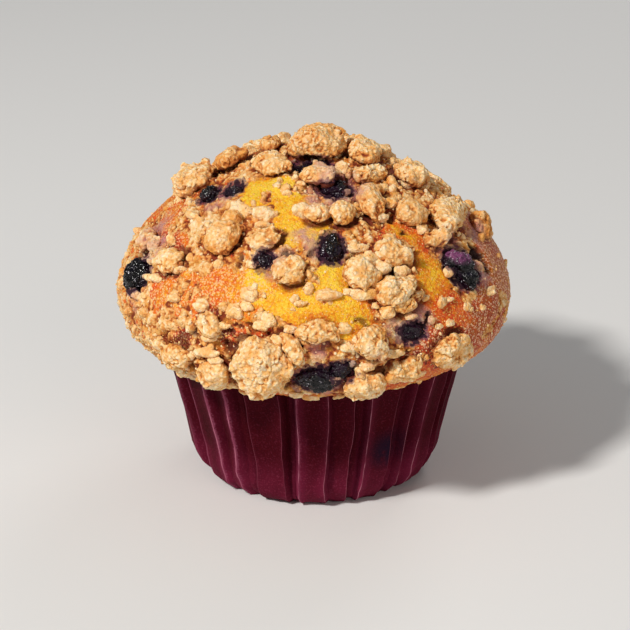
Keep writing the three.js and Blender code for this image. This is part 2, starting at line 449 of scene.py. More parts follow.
# %% [markdown]
# ## The cake's smooth form
#
# The cap's outline is a superellipse, blunt where it hangs over the case and slightly pointed
# on top, with broad swellings where the batter rose unevenly. A cube whose faces are cut
# finely and blown up to a ball gives even squares all over, without the crowded poles of a
# globe, and each of its points is then set at the cap's own distance from the centre.

# %% Outline of the cap
CAP_CENTRE = np.array((0, 0, 48.5)) * MM
CAP_RADIUS = 48.4 * MM
CAP_RISE = 35 * MM
CAP_DROP = 21 * MM
SWELL = 0.9 * MM
# A power of 2 is an ellipse, more is blunter and less is more pointed.
POWER_ABOVE = 1.7
POWER_BELOW = 2.4


def cap_distance(ways):
    """Distance from the cap's centre to its skin along each unit direction."""
    level = np.hypot(ways[:, 0], ways[:, 1])
    power = np.where(ways[:, 2] >= 0, POWER_ABOVE, POWER_BELOW)
    height = np.where(ways[:, 2] >= 0, CAP_RISE, CAP_DROP)
    across = (level / CAP_RADIUS) ** power
    along = (np.abs(ways[:, 2]) / height) ** power
    x, y, z = ways.T
    broad = np.sin(3.9 * x + 1.1) * np.sin(3.3 * y + 0.4)
    middling = np.sin(6.1 * y - 4.3 * z + 2.0) * np.sin(5.2 * x + 0.7)
    swell = SWELL * ease(z, -0.34, -0.1) * (broad + 0.6 * middling)
    return (across + along) ** (-1 / power) + swell


def cap_point(turn, rise, lift=0.0):
    """The point of the cap's skin at a turn from the front and a rise, both in degrees."""
    turn, rise = math.radians(turn), math.radians(rise)
    level = math.cos(rise)
    way = np.array([(level * math.sin(turn), -level * math.cos(turn), math.sin(rise))])
    return (CAP_CENTRE + way * (cap_distance(way)[:, None] + lift))[0]


def outwards(points):
    """The unit direction from the cap's centre to each point."""
    ways = points - CAP_CENTRE
    return ways / np.linalg.norm(ways, axis=1)[:, None]


def draw_in(piece, points, depths):
    """Moves the piece's points to points, each drawn in towards the cap's centre."""
    move_points(piece, points - outwards(points) * depths[:, None])


# %% Blow up the cap and draw out the part in the case
FIRST_CUTS = 29
SECOND_CUTS = 4
CAP_EDGE = math.sin(math.radians(-20))
EDGE_SLACK = 1e-4
# Radius and height of each ring in millimetres, from the cap's edge down.
PLUG_RINGS = [(33.8, 33.2), (29.0, 12.8), (28.4, 6.9), (26.5, 2.5), (23.4, 0.9)]

bpy.ops.mesh.primitive_cube_add(size=2)
cake = bpy.context.object
cake.name = cake.data.name = "baked_cake"
edit_mode()
bpy.ops.mesh.subdivide(number_cuts=FIRST_CUTS)
bpy.ops.mesh.subdivide(number_cuts=SECOND_CUTS)
object_mode()
ball = np.tan(points_of(cake) * math.pi / 4)
ball /= np.linalg.norm(ball, axis=1)[:, None]
move_points(cake, ball)
edit_mode()
bpy.ops.mesh.select_all(action="SELECT")
bpy.ops.mesh.bisect(plane_co=(0, 0, CAP_EDGE), plane_no=(0, 0, 1), clear_inner=True)
object_mode()
ways = points_of(cake)
ways /= np.linalg.norm(ways, axis=1)[:, None]
move_points(cake, CAP_CENTRE + ways * cap_distance(ways)[:, None])
at_edge = ways[:, 2] < CAP_EDGE + EDGE_SLACK
ring_radius = float(np.hypot(*(points_of(cake)[:, :2].T))[at_edge].mean())
ring_height = float(points_of(cake)[at_edge, 2].mean())
edit_mode()
for radius, height in PLUG_RINGS:
    bpy.ops.mesh.extrude_edges_move()
    bpy.ops.transform.translate(value=(0, 0, height * MM - ring_height))
    share = radius * MM / ring_radius
    bpy.ops.transform.resize(value=(share, share, 1), center_override=(0, 0, height * MM))
    ring_radius, ring_height = radius * MM, height * MM
bpy.ops.mesh.edge_face_add()
bpy.ops.mesh.select_all(action="SELECT")
bpy.ops.mesh.normals_make_consistent(inside=False)
object_mode()
print("cake mesh", len(cake.data.polygons), "faces, ring", round(ring_radius / MM, 1))

# %% [markdown]
# ## Where crumble, browning and juice lie
#
# The crumble doesn't cover the cake evenly. It leaves the crust bare in patches, which bake
# yellow in the middle, golden at the shoulders and red-brown low on the right. It thins to
# fine sand in some places and is heaped in others, melted sugar leaves a pale frost, and juice
# stains what is near a berry. Patches are round spots on the skin, and shifting the points by
# noise before they are measured makes their outlines ragged.

# %% Patches of bare crust, colour and juice
# Each patch is turn and rise in degrees and radius in millimetres.
BARE_PATCHES = [
    (-29, 53, 6.5), (-33, 44, 3.5), (-12, 47, 4.5), (-4, 39, 4), (-12, 38, 3.5), (2, 38, 2.5),
    (6, 15, 7.5), (-2, 12, 6.5), (-7, 15, 6), (10, 10, 4.5), (-14, 18, 5.5), (4, 22, 4),
    (0, 7, 3.5), (36, 30, 5.5), (37, 22, 5), (35, 35, 3), (38, 15, 4), (-31, 16, 4.5),
    (-22, 14, 5.5), (-74, 29, 4.5), (-69, 22, 3.5), (-56, 25, 3.5), (34, 12, 4), (41, 5, 5.5),
    (48, -4, 4.5), (35, 0, 4.5), (26, -4, 3), (24, -13, 3.5), (34, -9, 5), (58, 6, 5),
    (66, -6, 5), (51, 2, 4), (67, 12, 4.5), (56, -10, 4.5), (69, 18, 4), (-38, 0, 2.6),
    (-23, 3, 2), (-16, 6, 2.5), (18, 14, 2), (24, -17, 5), (42, -14, 5), (80, 8, 9), (86, -8, 8),
    (78, 22, 6), (92, 16, 7), (74, -14, 6), (102, 3, 7), (112, 30, 6), (118, 22, 6), (126, 15, 5),
    (135, -4, 7), (146, -8, 7), (156, -11, 6), (160, 20, 6), (170, 25, 6), (181, 32, 6),
    (191, 37, 5), (-168, 46, 4), (-165, -2, 6), (-156, -7, 6), (-150, 40, 7), (-142, 34, 6),
    (-136, 27, 5), (-120, 5, 6), (-112, 10, 6), (-104, 17, 5), (-98, 26, 5), (160, 58, 5),
    (140, 56, 5), (124, 52, 5), (112, 48, 4),
]
YELLOW_PATCHES = [
    (-26, 52, 9), (-12, 42, 7), (0, 37, 5), (6, 15, 9), (-5, 14, 8), (10, 10, 6), (-14, 18, 6),
    (4, 24, 5), (160, 22, 7), (170, 26, 6), (-150, 42, 8), (-142, 35, 6), (140, 56, 5),
]
GOLDEN_PATCHES = [
    (36, 30, 6), (36, 20, 6), (-31, 16, 7), (-22, 14, 6), (-74, 29, 5), (-40, 13, 7), (-50, 9, 5),
    (112, 30, 7), (181, 32, 7), (118, 22, 6),
]
SANDY_PATCHES = [(-41, 13, 6), (-32, 11, 5), (-50, 9, 5), (-24, 9, 3), (128, 8, 6), (205, 26, 6)]
TOASTED_PATCHES = [
    (41, 3, 8), (48, -6, 7), (34, -9, 8), (24, -14, 7), (58, 6, 6), (66, -8, 7), (24, -20, 8),
    (56, -14, 8), (-38, 0, 4.5), (-23, 3, 3), (-18, 6, 4), (-60, 24, 4), (15, 12, 3.5),
    (-10, -21, 6), (-45, -20, 6), (-80, -8, 5), (-80, 22, 5), (24, 36, 3), (48, 34, 4),
    (100, 0, 8), (135, -6, 10), (-165, -6, 9), (-120, 2, 8), (180, 50, 5), (8, -19, 4),
]
JUICE_PATCHES = [
    (19, 62, 4.5), (10, 66, 4), (27, 53, 4), (2, 47, 3.5), (2, 32, 3.5), (-4, 34, 3),
    (-14, 26, 4), (50, 17, 4), (52, 25, 4), (60, 14, 4), (23, 4, 3), (16, 0, 3), (-74, 22, 5),
    (30, 6, 3.5), (4, -13, 3.5), (1, 1, 3), (-65, 18, 4), (-54, 44, 4), (-62, 5, 3.5),
    (70, 24, 4), (12, 56, 5.5), (152, 36, 7), (-138, 16, 7), (178, 2, 7),
]
FROST_PATCHES = [
    (62, 6, 12), (76, 10, 15), (70, -10, 12), (88, -4, 13), (90, 20, 13), (56, 22, 7),
    (50, -2, 6), (-40, 3, 5), (-30, 14, 7), (-20, 16, 5), (-45, 12, 9), (-28, 6, 6), (30, 2, 5),
    (-72, 28, 8), (-60, 26, 7), (-156, -6, 9), (-112, 8, 9), (146, -8, 10), (160, 22, 8),
    (-145, 36, 8),
]
HEAPS = [
    (31, 24, 1.8), (31, 18, 1.8), (20, 25, 1.8), (34, 21, 1.6), (17, 19, 1.6), (24, 19, 1.4),
    (-40, 43, 2.2), (-31, 42, 2.5), (-23, 44, 2.5), (-29, 49, 2), (-33, 38, 2.2), (-65, 36, 2),
    (-66, 32, 1.8), (-45, 31, 2.2), (-52, 32, 1.8), (-36, 22, 2), (-39, 20, 1.8), (-44, 14, 1.8),
    (-39, 13, 1.8), (-44, 10, 2), (-39, 8, 2), (-33, 9, 1.8), (-26, 8, 2), (-22, 8, 1.8),
    (-17, 14, 1.8), (-20, 12, 1.5), (-13, 9, 1.5), (4, 15, 2), (2, 16, 1.5), (-4, 4, 2),
    (-6, 6, 1.5), (14, -7, 2), (24, -6, 2.5), (30, -4, 2), (46, 27, 1.8), (50, 24, 1.2),
    (25, 29, 2.2), (-110, 74, 1.8), (-90, 72, 1.8), (110, 76, 1.5), (28, 67, 2), (36, 62, 2),
    (46, 56, 2), (53, 50, 2), (46, 32, 1.5), (-1, 44, 2), (2, 46, 1.5), (36, 78, 1.5),
    (20, 46, 1.5), (22, 60, 1.5), (-5, 24, 2.2), (-1, 20, 2), (-26, 34, 1.8), (-20, 31, 1.8),
    (-66, 18, 2), (-56, 18, 1.8), (-80, 22, 1.2), (-58, 24, 1.2), (-88, 38, 2), (-84, 34, 1.8),
    (-69, 63, 1.5), (-53, 56, 1.2), (-16, 56, 1.8), (-27, 57, 1.5), (20, 14, 1.5), (29, 12, 1.5),
    (22, 10, 2), (-58, 6, 3.5), (-52, 2, 3.5), (-46, -4, 3), (-42, -10, 3), (-50, -3, 3),
    (-44, -22, 3), (-38, -24, 2.5), (-30, -26, 2.5), (-34, -10, 2.5), (-8, -22, 2), (2, -18, 2),
    (11, -18, 2), (29, -19, 2), (21, -18, 2), (-58, 10, 2), (-38, 4, 2), (-33, 12, 2),
    (-46, 4, 2.2), (-35, -2, 1.5), (110, 12, 4), (124, 36, 4), (140, 14, 4), (155, 52, 4),
    (165, 0, 4), (184, 38, 4), (200, 52, 4), (196, 14, 4), (214, 20, 4), (228, 34, 4),
    (225, -6, 4), (244, 12, 4), (250, 40, 4), (135, 62, 4), (180, 66, 4), (98, 26, 4),
    (92, -12, 3), (128, -12, 3), (180, -14, 3), (152, -12, 3), (205, -10, 3),
]
# Pits in the crust: turn and rise in degrees, radius and depth in millimetres.
PLUM_PITS = [
    (-12, 70, 2.2, 1.8), (3, 73, 2.4, 1.6), (63.5, 16, 3.2, 3.6), (5, -7, 2.4, 1.2),
    (-73, 12, 3.4, 0.6), (-10, 27, 1.4, 0.8), (-2, 31, 1.6, 0.8), (12, 27, 1.4, 0.8),
    (33, 5, 1.4, 1),
]
BROWN_PITS = [
    (27, 22, 2.4, 1.8), (23, 23, 1.6, 1.4), (-22, 7, 1.2, 1.4), (-18, 6, 1.2, 1.4),
    (-14, 5, 1.3, 1.4), (-9, 3, 1.2, 1.2), (-24, 4, 1.3, 1.2), (-23, 0, 1.2, 1.4),
    (-29, -6, 1.4, 1.6), (40, 46, 1.7, 1.6), (35, 41, 1.6, 1.4), (47, 32, 1.4, 1.4),
    (39, 34, 1.2, 1.2), (55, 26, 1.8, 1.4), (12, 18, 1.1, 1.2), (16, 16, 1.1, 1.2),
    (18, 13, 1.1, 1), (-34, 4, 1.8, 1), (-38, 1, 2.4, 0.8), (-43, -4, 2, 1), (-40, 26, 1.2, 0.8),
    (-27, 28, 1.4, 1), (-28, 24, 1.2, 1), (-2, 47, 1, 0.8), (-2, 6, 1.2, 1), (-9, -11, 1.4, 1.2),
    (-4, 2, 1.2, 1), (18, 2, 1.4, 1), (15, 6, 1.2, 0.8), (120, 22, 1.8, 1.4), (150, 28, 1.6, 1.4),
    (172, 20, 2.2, 1.4), (200, 20, 1.8, 1.2), (225, 26, 1.8, 1.2), (144, 0, 1.8, 1.2),
    (232, -2, 1.8, 1.2), (190, 58, 1.8, 1.2), (100, 40, 1.8, 1.2), (-104, 22, 1.6, 1.2),
]


def cover(points, patches):
    """0 outside every patch and 1 well inside one."""
    most = np.zeros(len(points))
    for turn, rise, radius in patches:
        gap = np.linalg.norm(points - cap_point(turn, rise), axis=1) / (radius * MM)
        most = np.maximum(most, 1 - ease(gap, 0.7, 1.3))
    return most


def sink_in(points, pits):
    """How deep the pits go at each point, in metres."""
    deepest = np.zeros(len(points))
    for turn, rise, radius, depth in pits:
        gap = np.linalg.norm(points - cap_point(turn, rise), axis=1) / (radius * MM)
        deepest = np.maximum(deepest, (1 - ease(gap, 0.5, 1.25)) * depth * MM)
    return deepest


def shifted(points, size, reach):
    """The points, each pushed about by up to reach."""
    push = [rough(points, size, seed) for seed in (3.1, 17.7, 41.3)]
    return points + np.stack(push, axis=1) * reach


smooth_points = points_of(cake)
ragged = shifted(smooth_points, 4.5 * MM, 1.6 * MM)
ragged = shifted(ragged, 1.7 * MM, 0.7 * MM)
bare = cover(ragged, BARE_PATCHES)
heaps = cover(ragged, HEAPS)
loose = rough(smooth_points, 7 * MM, 5.0)
coat = ease(0.62 - bare + 0.28 * loose + 0.8 * heaps, 0.15, 0.5)
coat *= 1 - 0.55 * cover(ragged, SANDY_PATCHES)
coat *= ease(smooth_points[:, 2], 33 * MM, 37 * MM)
juice = cover(ragged, JUICE_PATCHES)
plum_depth, brown_depth = sink_in(ragged, PLUM_PITS), sink_in(ragged, BROWN_PITS)
bake = 0.46 + 0.13 * rough(smooth_points, 9 * MM, 9.0)
bake += 0.2 * cover(ragged, TOASTED_PATCHES) - 0.13 * cover(ragged, GOLDEN_PATCHES)
bake -= 0.38 * cover(ragged, YELLOW_PATCHES)
bake += 0.2 * ease(-smooth_points[:, 0], 6 * MM, 26 * MM)
print("crumble covers", round(float(coat.mean()), 2), "and juice", round(float(juice.mean()), 2))

# %% [markdown]
# ## The cake's relief
#
# Each berry sits in a shallow dimple, because the batter sinks as the berry cooks, and pits
# open where steam or juice came through. The coat is made of grains fused to each other in
# clumps, with cracks between them, so it needs three sizes of relief: clumps, grains and grit.
# Bare crust is only faintly uneven, and grittier where it is frosted. Grain patterns are cell
# noise, which has the rounded tops and sharp gaps of crumbs pressed together, where plain
# noise looks like dough.

# %% Dimples under the berries
# How a berry slumped in the oven, by its number: its shift in millimetres and its stretch
# along each axis.
SLUMPED = {
    "01": ((0, 0, 0), (1.1, 1.15, 1.3)),
    "02": ((-0.3, 0, 0), (1.1, 1.1, 1.25)),
    "04": ((0, 0, 0), (0.82, 1, 1.15)),
    "06": ((0.4, -3.0, 0.8), (1.4, 1.3, 1.1)),
    "07": ((0.9, 0.4, 1.3), (1.12, 1.12, 1.1)),
    "08": ((0.3, 0, -0.6), (1.1, 1, 0.8)),
    "09": ((1.0, 0, -1.7), (1.25, 1, 1.05)),
    "10": ((-1.8, 0, -2.2), (0.9, 1, 0.85)),
    "11": ((0.8, 0, 0), (1.3, 1, 1)),
}
DIMPLE_DEPTH = 1.3 * MM
berry_centres, berry_radii, berry_stretches = {}, {}, {}
for name in BERRIES:
    low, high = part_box(name)
    shift, stretch = SLUMPED.get(name[-2:], ((0, 0, 0), (1, 1, 1)))
    berry_centres[name] = np.array((low + high) / 2) + np.array(shift) * MM
    berry_radii[name] = np.array((high - low) / 2) * stretch
    berry_stretches[name] = np.array(stretch)


def berry_gap(points):
    """How far each point is from the skin of the nearest berry, in metres, less than 0 inside."""
    nearest = np.full(len(points), 1.0)
    for name, centre in berry_centres.items():
        radii = berry_radii[name]
        gap = (np.linalg.norm((points - centre) / radii, axis=1) - 1) * radii.mean()
        nearest = np.minimum(nearest, gap)
    return nearest


def berry_halo(points):
    """1 against a berry's skin, falling to 0 a little way off it."""
    return 1 - ease(berry_gap(points), -0.4 * MM, 2.4 * MM)


dimples = 1 - ease(berry_gap(smooth_points), -2.5 * MM, 2.5 * MM)
draw_in(cake, smooth_points, DIMPLE_DEPTH * dimples + np.maximum(plum_depth, brown_depth))
frost = cover(ragged, FROST_PATCHES)
fields = {
    "coat": coat,
    "juice": juice,
    "halo": berry_halo(smooth_points),
    "bake": bake,
    "frost": frost,
    "reddened": frost * ease(smooth_points[:, 0], 16 * MM, 30 * MM),
    "heap": heaps,
    "plum_pit": np.clip(plum_depth / MM, 0, 1),
    "brown_pit": np.clip(brown_depth / MM, 0, 1),
}
for name, values in fields.items():
    store(cake, name, values)
print("the cake keeps", ", ".join(fields))


# %% Clumps, grains and grit on the cake
def cake_relief(net):
    clumps = net.grains(4.4 * MM)
    grains = net.grains(1.5 * MM)
    grit = net.grains(0.95 * MM)
    crust = net.noise(2.4 * MM, 3.0)
    coat = net.field("coat")
    cracks = net.cracks(4.5 * MM, 0.05)
    loose = 0.6 * clumps + 0.35 * grains + 0.25 * grit + 0.6 * net.field("heap")
    loose = loose - 0.5 * cracks - 0.6
    gritty = net.noise(0.9 * MM)
    firm = 0.45 * crust + (0.4 + 0.35 * net.field("frost")) * gritty - 0.55
    height = (coat * loose + (1 - coat) * firm) * (1 * MM)
    # Gaps and cracks keep a low raised value, so their crumble is painted darker: painted shade.
    return height, 0.3 * clumps + 0.35 * grains + 0.3 * grit - 0.4 * cracks


shape_by(cake, relief_tree("cake relief", cake_relief))
apply_modifiers(cake)
alone(cake)
bpy.ops.object.shade_smooth()
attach(cake, "root")
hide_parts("cake")
print("cake stands", round(points_of(cake)[:, 2].max() / MM, 1), "mm high")

# %% [markdown]
# ## The crust's colours
#
# Crust browns from yellow through gold to red-brown as its sugar cooks. One number, bake,
# holds how far it went, and a ramp turns it into colour, so every stage on the way is a
# colour that real crust has. Specks of sugar and a frost of pale grains are mixed over it.
# Crumble is paler than the crust, cream where grains stand up and darker in the gaps and
# cracks between them, which is painted shade, so its colour reads the height that the relief
# kept.

# %% Crust and crumble colours
BAKED = [
    (0.0, srgb(250, 206, 60)),
    (0.2, srgb(246, 178, 26)),
    (0.42, srgb(234, 134, 26)),
    (0.64, srgb(228, 102, 30)),
    (0.84, srgb(214, 76, 32)),
    (1.0, srgb(132, 42, 26)),
]
CRUMBLE = [
    (0.0, srgb(134, 54, 26)),
    (0.2, srgb(202, 118, 54)),
    (0.4, srgb(234, 170, 96)),
    (0.62, srgb(247, 202, 140)),
    (0.92, srgb(255, 229, 188)),
]
SEAM_SHADE_BROWN = srgb(104, 40, 22)
PIT_SHADE_BROWN = srgb(92, 30, 20)
PLUM_JUICE_AND_PIT_SHADE = srgb(30, 10, 24)
SUGAR_GOLD = srgb(250, 212, 112)
RED_CRUST = srgb(164, 60, 34)
FROST = srgb(252, 208, 156)
ROSY_FROST = srgb(246, 192, 158)
MAUVE = srgb(196, 146, 142)
PURPLE = srgb(104, 56, 84)
PLUM = srgb(44, 14, 36)
SPECK = srgb(150, 84, 44)
BUTTER = srgb(232, 160, 66)


def soak(net, colour, strength):
    """Juice in a surface: mauve where it spread thin and plum right beside the berry."""
    spread = net.field("juice") * net.noise(2.4 * MM, 3.0).ease(0.25, 0.65)
    colour = net.mix(spread * strength, colour, MAUVE)
    ragged_halo = net.field("halo") + 1.5 * net.noise(1.3 * MM, 4.0) - 0.75
    colour = net.mix(ragged_halo.ease(0.4, 0.6) * 0.65, colour, PURPLE)
    return net.mix(ragged_halo.ease(0.75, 0.9) * 0.95, colour, PLUM)


def crumble_colour(net, raised):
    """Cream grains, painted shade in the gaps, a few dark specks and juice that soaked in."""
    patchy = net.noise(5 * MM)
    glow = net.noise(2.6 * MM).ease(0.53, 0.66)
    cells = net.grains(0.9 * MM)
    fine = net.noise(0.5 * MM)
    # Raised grains are painted lighter and the gaps darker, which is painted shade; noise is
    # tone.
    shade = 1.05 * raised + 0.75 * patchy + 0.4 * fine + 0.25 * cells - 0.68
    colour = net.mix(glow * 0.55, net.ramp(shade, CRUMBLE), BUTTER)
    specks = net.noise(0.55 * MM, 0.0).ease(0.76, 0.8)
    colour = net.mix(specks * 0.6, colour, SPECK)
    return soak(net, colour, 0.6)


def crust_colour(net):
    """Crust mottled by its pores, redder and darker beside the lumps, which is painted shade."""
    blotches = net.noise(4.2 * MM, 3.0)
    mottle = net.noise(0.95 * MM, 4.0)
    shade = net.field("bake") + 0.7 * blotches + 0.7 * mottle - 0.2 * net.grains(0.75 * MM) - 0.63
    # Beside the lumps the crust is pushed along the ramp towards red-brown: painted shade.
    colour = net.ramp(shade + 0.25 * net.field("crevice"), BAKED)
    sugary = net.noise(3 * MM).ease(0.35, 0.6)
    sugar = net.noise(0.45 * MM, 1.0).ease(0.54, 0.66)
    colour = net.mix(sugar * (0.25 + 0.4 * sugary), colour, SUGAR_GOLD)
    crowd = net.noise(1.6 * MM)
    frost = (net.grains(0.6 * MM) + 0.9 * crowd - 0.45).ease(0.45, 0.7)
    colour = net.mix(net.field("reddened") * 0.6, colour, RED_CRUST)
    colour = net.mix(frost * net.field("frost") * 0.6, colour, FROST)
    colour = net.mix(frost * net.field("reddened") * 0.75, colour, ROSY_FROST)
    return soak(net, colour, 0.85)


SOFT_CRUMB = {
    "Specular IOR Level": 0.25,
    "Subsurface Weight": 0.15,
    "Subsurface Radius": (1.0, 0.45, 0.2),
    "Subsurface Scale": 1.2 * MM,
}
crust = Finish("baked crust and crumble", {"Roughness": 0.6, **SOFT_CRUMB})
holes = crust.noise(1.8 * MM, 3.0)
coat_share = 0.6 * crust.field("coat") + 0.4 * crust.field("heap") + 1.2 * holes
coat_share = (coat_share - 0.67).ease(0.3, 0.45)
# Coat beside the lumps is painted darker, which is painted shade.
coat_raised = 1.1 * crust.field("raised") - 0.3 * crust.field("crevice") + 0.08
colour = crust.mix(coat_share, crust_colour(crust), crumble_colour(crust, coat_raised))
# The gaps under the lumps' edges are painted dark brown, which is painted shade.
colour = crust.mix(crust.field("seam") * 0.85, colour, SEAM_SHADE_BROWN)
# Pits are painted dark: brown pits as painted shade, plum pits as juice darkened by painted
# shade.
colour = crust.mix(crust.field("brown_pit") * 0.9, colour, PIT_SHADE_BROWN)
colour = crust.mix(crust.field("plum_pit") * 0.95, colour, PLUM_JUICE_AND_PIT_SHADE)
fine_grain = 1.2 * crust.noise(0.7 * MM, 3.0) + crust.noise(0.35 * MM)
gloss = 0.46 + 0.3 * coat_share
cake.data.materials.append(crust.done(colour, fine_grain, 0.3 * MM, gloss))

# %% [markdown]
# ## Lumps of crumble
#
# A lump is flour and butter rubbed into a ball that picked up smaller crumbs on its way. It
# could be sculpted, but forty-three lumps ask for a recipe: flattened knobs, each turned at
# random, are set over the frame's solid, a remesh welds all of it into one skin, and a little
# smoothing melts the joins as the oven does. Small knobs and a finer weld follow, except on
# the lumps that baked smooth. Grain relief comes last, or smoothing would take it away.

# %% The recipe as a stack of modifiers
WELD_SIZE = 0.21 * MM
COARSE_WELD = 1.6 * WELD_SIZE
KNOB_FORM = (1.15, 0.9, 0.7)
KNOB_TURN = 6.28
SIZE_SEED, SPOT_SEED, TURN_SEED = 0, 0, 3
BALD_EDGE = 0.12


def knob_tree(name, spacing, radii, sunk_by, bald):
    """Sets flattened balls over the skin that comes in, but leaves the bald share smooth."""
    net = Shaping(name)
    rich = net.noise(6 * MM, 1.0).ease(bald, bald + BALD_EDGE)
    spots = net.scatter(rich, spacing, SPOT_SEED)
    normal = Wire(net, spots.socket.node.outputs["Normal"])
    ball = net.add("GeometryNodeMeshIcoSphere", None, {"Radius": 1.0, "Subdivisions": 1})
    inputs = {"Points": net.moved(spots, net.scaled(normal, -sunk_by)), "Instance": ball}
    inputs["Scale"] = net.scaled(KNOB_FORM, net.size(*radii, SIZE_SEED))
    inputs["Rotation"] = net.turn(KNOB_TURN, TURN_SEED)
    knobs = net.add("GeometryNodeInstanceOnPoints", None, inputs)
    real = net.add("GeometryNodeRealizeInstances", None, {"Geometry": knobs})
    joined = net.add("GeometryNodeJoinGeometry")
    for part in (real, net.start):
        net.tree.links.new(part.socket, joined.socket.node.inputs[0])
    return net.done(joined)


def lump_relief(net):
    shape = net.noise(7.0 * MM, 1.0)
    pits = net.noise(3.0 * MM, 1.0).ease(0.56, 0.74)
    dry = net.noise(5 * MM, 1.0).ease(0.46, 0.58)
    cracks = net.cracks(3.8 * MM, 0.045) * dry
    grains = net.grains(1.2 * MM)
    grit = net.noise(0.8 * MM, 1.0)
    height = 1.6 * shape + 0.18 * grains + 0.2 * grit - 0.5 * pits - 0.4 * cracks - 1.05
    # Pits and cracks keep a low raised value, so they are painted darker: painted shade.
    return height * (1 * MM), 0.3 * grains + 0.8 * grit - 0.35 * pits - 0.5 * cracks


def weld(piece, size, rounds):
    remesh = piece.modifiers.new("weld", "REMESH")
    remesh.mode = "VOXEL"
    remesh.voxel_size = size
    soften = piece.modifiers.new("soften", "SMOOTH")
    soften.iterations = rounds


knobs = knob_tree("knobs", 2.7 * MM, (1.1 * MM, 3.0 * MM), 0.9 * MM, 0.22)
small_knobs = knob_tree("small knobs", 0.95 * MM, (0.3 * MM, 0.66 * MM), 0.1 * MM, 0.46)
grainy = relief_tree("lump relief", lump_relief)

# %% Bake every lump
TOASTED_GOLD = srgb(218, 140, 62)
FOOT_SHADE_BROWN = srgb(128, 58, 32)

crumble = Finish("butter crumble", {"Roughness": 0.8, **SOFT_CRUMB})
toasted = crumble.field("toasted") * crumble.noise(5 * MM).ease(0.3, 0.6)
# A lump is painted lighter high above the cake and darker low down, which is painted shade.
shade = 0.8 * crumble.field("raised") + 0.3 * crumble.field("lift") - 0.25 * toasted
colour = crumble.mix(toasted * 0.5, crumble_colour(crumble, shade), TOASTED_GOLD)
# Painted shade: each lump's foot, where it meets the cake, is painted dark brown.
uneven_lift = crumble.field("lift") + 0.5 * crumble.noise(3 * MM)
seam = 1 - (uneven_lift - 0.25).ease(0.0, 0.22)
colour = crumble.mix(seam * 0.7, colour, FOOT_SHADE_BROWN)
fine_grain = crumble.grains(0.9 * MM) + crumble.noise(0.35 * MM)
crumble_finish = crumble.done(colour, fine_grain, 0.25 * MM)


def mark(piece):
    """Keeps how far each point stands off the cap and how near it is to berries and juice."""
    points = points_of(piece)
    offsets = points - CAP_CENTRE
    lengths = np.linalg.norm(offsets, axis=1)
    lift = lengths - cap_distance(offsets / lengths[:, None])
    store(piece, "lift", ease(lift, 0, 4 * MM))
    store(piece, "juice", cover(points, JUICE_PATCHES))
    store(piece, "halo", berry_halo(points))
    return points


# By the number of the lump: how much wider it is than the frame's solid, and how toasted.
GROWN_LUMPS = {"04": 1.05, "05": 1.12, "14": 1.1, "15": 1.12, "16": 1.16, "18": 1.08}
TOASTED_LUMPS = {
    "01": 0.5, "04": 1.0, "09": 0.3, "10": 0.5, "12": 1.0,
    "19": 0.7, "33": 0.5, "37": 0.8, "40": 0.6, "42": 0.8,
}
SMOOTH_LUMPS = ("04", "08", "10", "12", "21")
lump_faces = 0
lump_points = []
for node in LUMPS:
    number = node[-2:]
    lump = merged_copy(node, "lump_" + number)
    middle = points_of(lump).mean(axis=0)
    move_points(lump, middle + (points_of(lump) - middle) * GROWN_LUMPS.get(number, 1))
    shape_by(lump, knobs)
    weld(lump, COARSE_WELD, 5)
    if number not in SMOOTH_LUMPS:
        shape_by(lump, small_knobs)
    weld(lump, WELD_SIZE, 2)
    shape_by(lump, grainy)
    apply_modifiers(lump)
    lump_points.append(mark(lump))
    store(lump, "toasted", np.full(len(lump.data.vertices), TOASTED_LUMPS.get(number, 0)))
    dress(lump, crumble_finish)
    lump_faces += len(lump.data.polygons)
    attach(lump, "root")
    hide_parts(node)
print(len(LUMPS), "lumps with", lump_faces, "faces")

# %% [markdown]
# ## Creases beside the lumps
#
# Crust at the foot of a lump is painted redder and darker, which is painted shade, and in
# places a dark gap opens under the lump's edge. The distance from each point of the cake to
# the nearest lump says where, and the gap is cut into the mesh, because a painted one catches
# no shadow; it is painted dark brown as well, which is painted shade.

# %% Redden the creases and open the gaps
# One lump point in three is near enough together to measure by.
STRIDE = 3
SEAM_DEPTH = 0.9 * MM
all_lumps = np.concatenate(lump_points)[::STRIDE]
near_lump = kdtree.KDTree(len(all_lumps))
for index, point in enumerate(all_lumps):
    near_lump.insert(point, index)
near_lump.balance()
cake_points = points_of(cake)
gaps = np.array([near_lump.find(point)[2] for point in cake_points])
# Painted shade: crust and coat near a lump are painted darker by this value.
store(cake, "crevice", 1 - ease(gaps, 0.5 * MM, 2.6 * MM))
gap_share = ease(rough(cake_points, 6 * MM, 71.0), -0.3, 0.5)
gap_share *= ease(gaps, 0, 0.3 * MM) * (1 - ease(gaps, 0.9 * MM, 1.7 * MM))
heap_now = recall(cake, "heap")
gap_share *= 1 - heap_now
# The gaps are cut into the mesh and also painted dark brown, which is painted shade.
store(cake, "seam", gap_share)
draw_in(cake, cake_points, gap_share * SEAM_DEPTH)
print("gaps take up", round(float(gap_share.mean()), 3), "of the cake's skin")

# %% [markdown]
# ## Berries
#
# A baked berry is a thin dark skin over pulp that has shrunk, so it is wrinkled and glossy,
# with a blue bloom left on the high places and purple where the skin has split. The frame's
# ball is smoothed by subdivision, drawn in by broad dents and then creased. Berries slump as
# they soften, so each is stretched and shifted on its own, and one has burst: its skin is
# pushed out into lips and in to a hole that shows the flesh.

# %% Wrinkle the berries
def berry_relief(net):
    dents = net.noise(4.2 * MM, 1.0)
    creases = net.noise(1.4 * MM, 3.0)
    beads = net.grains(0.8 * MM)
    height = (3.4 * dents + 1.5 * creases + 0.25 * beads - 2.9) * (1 * MM)
    return height, 0.6 * creases + 0.4 * beads


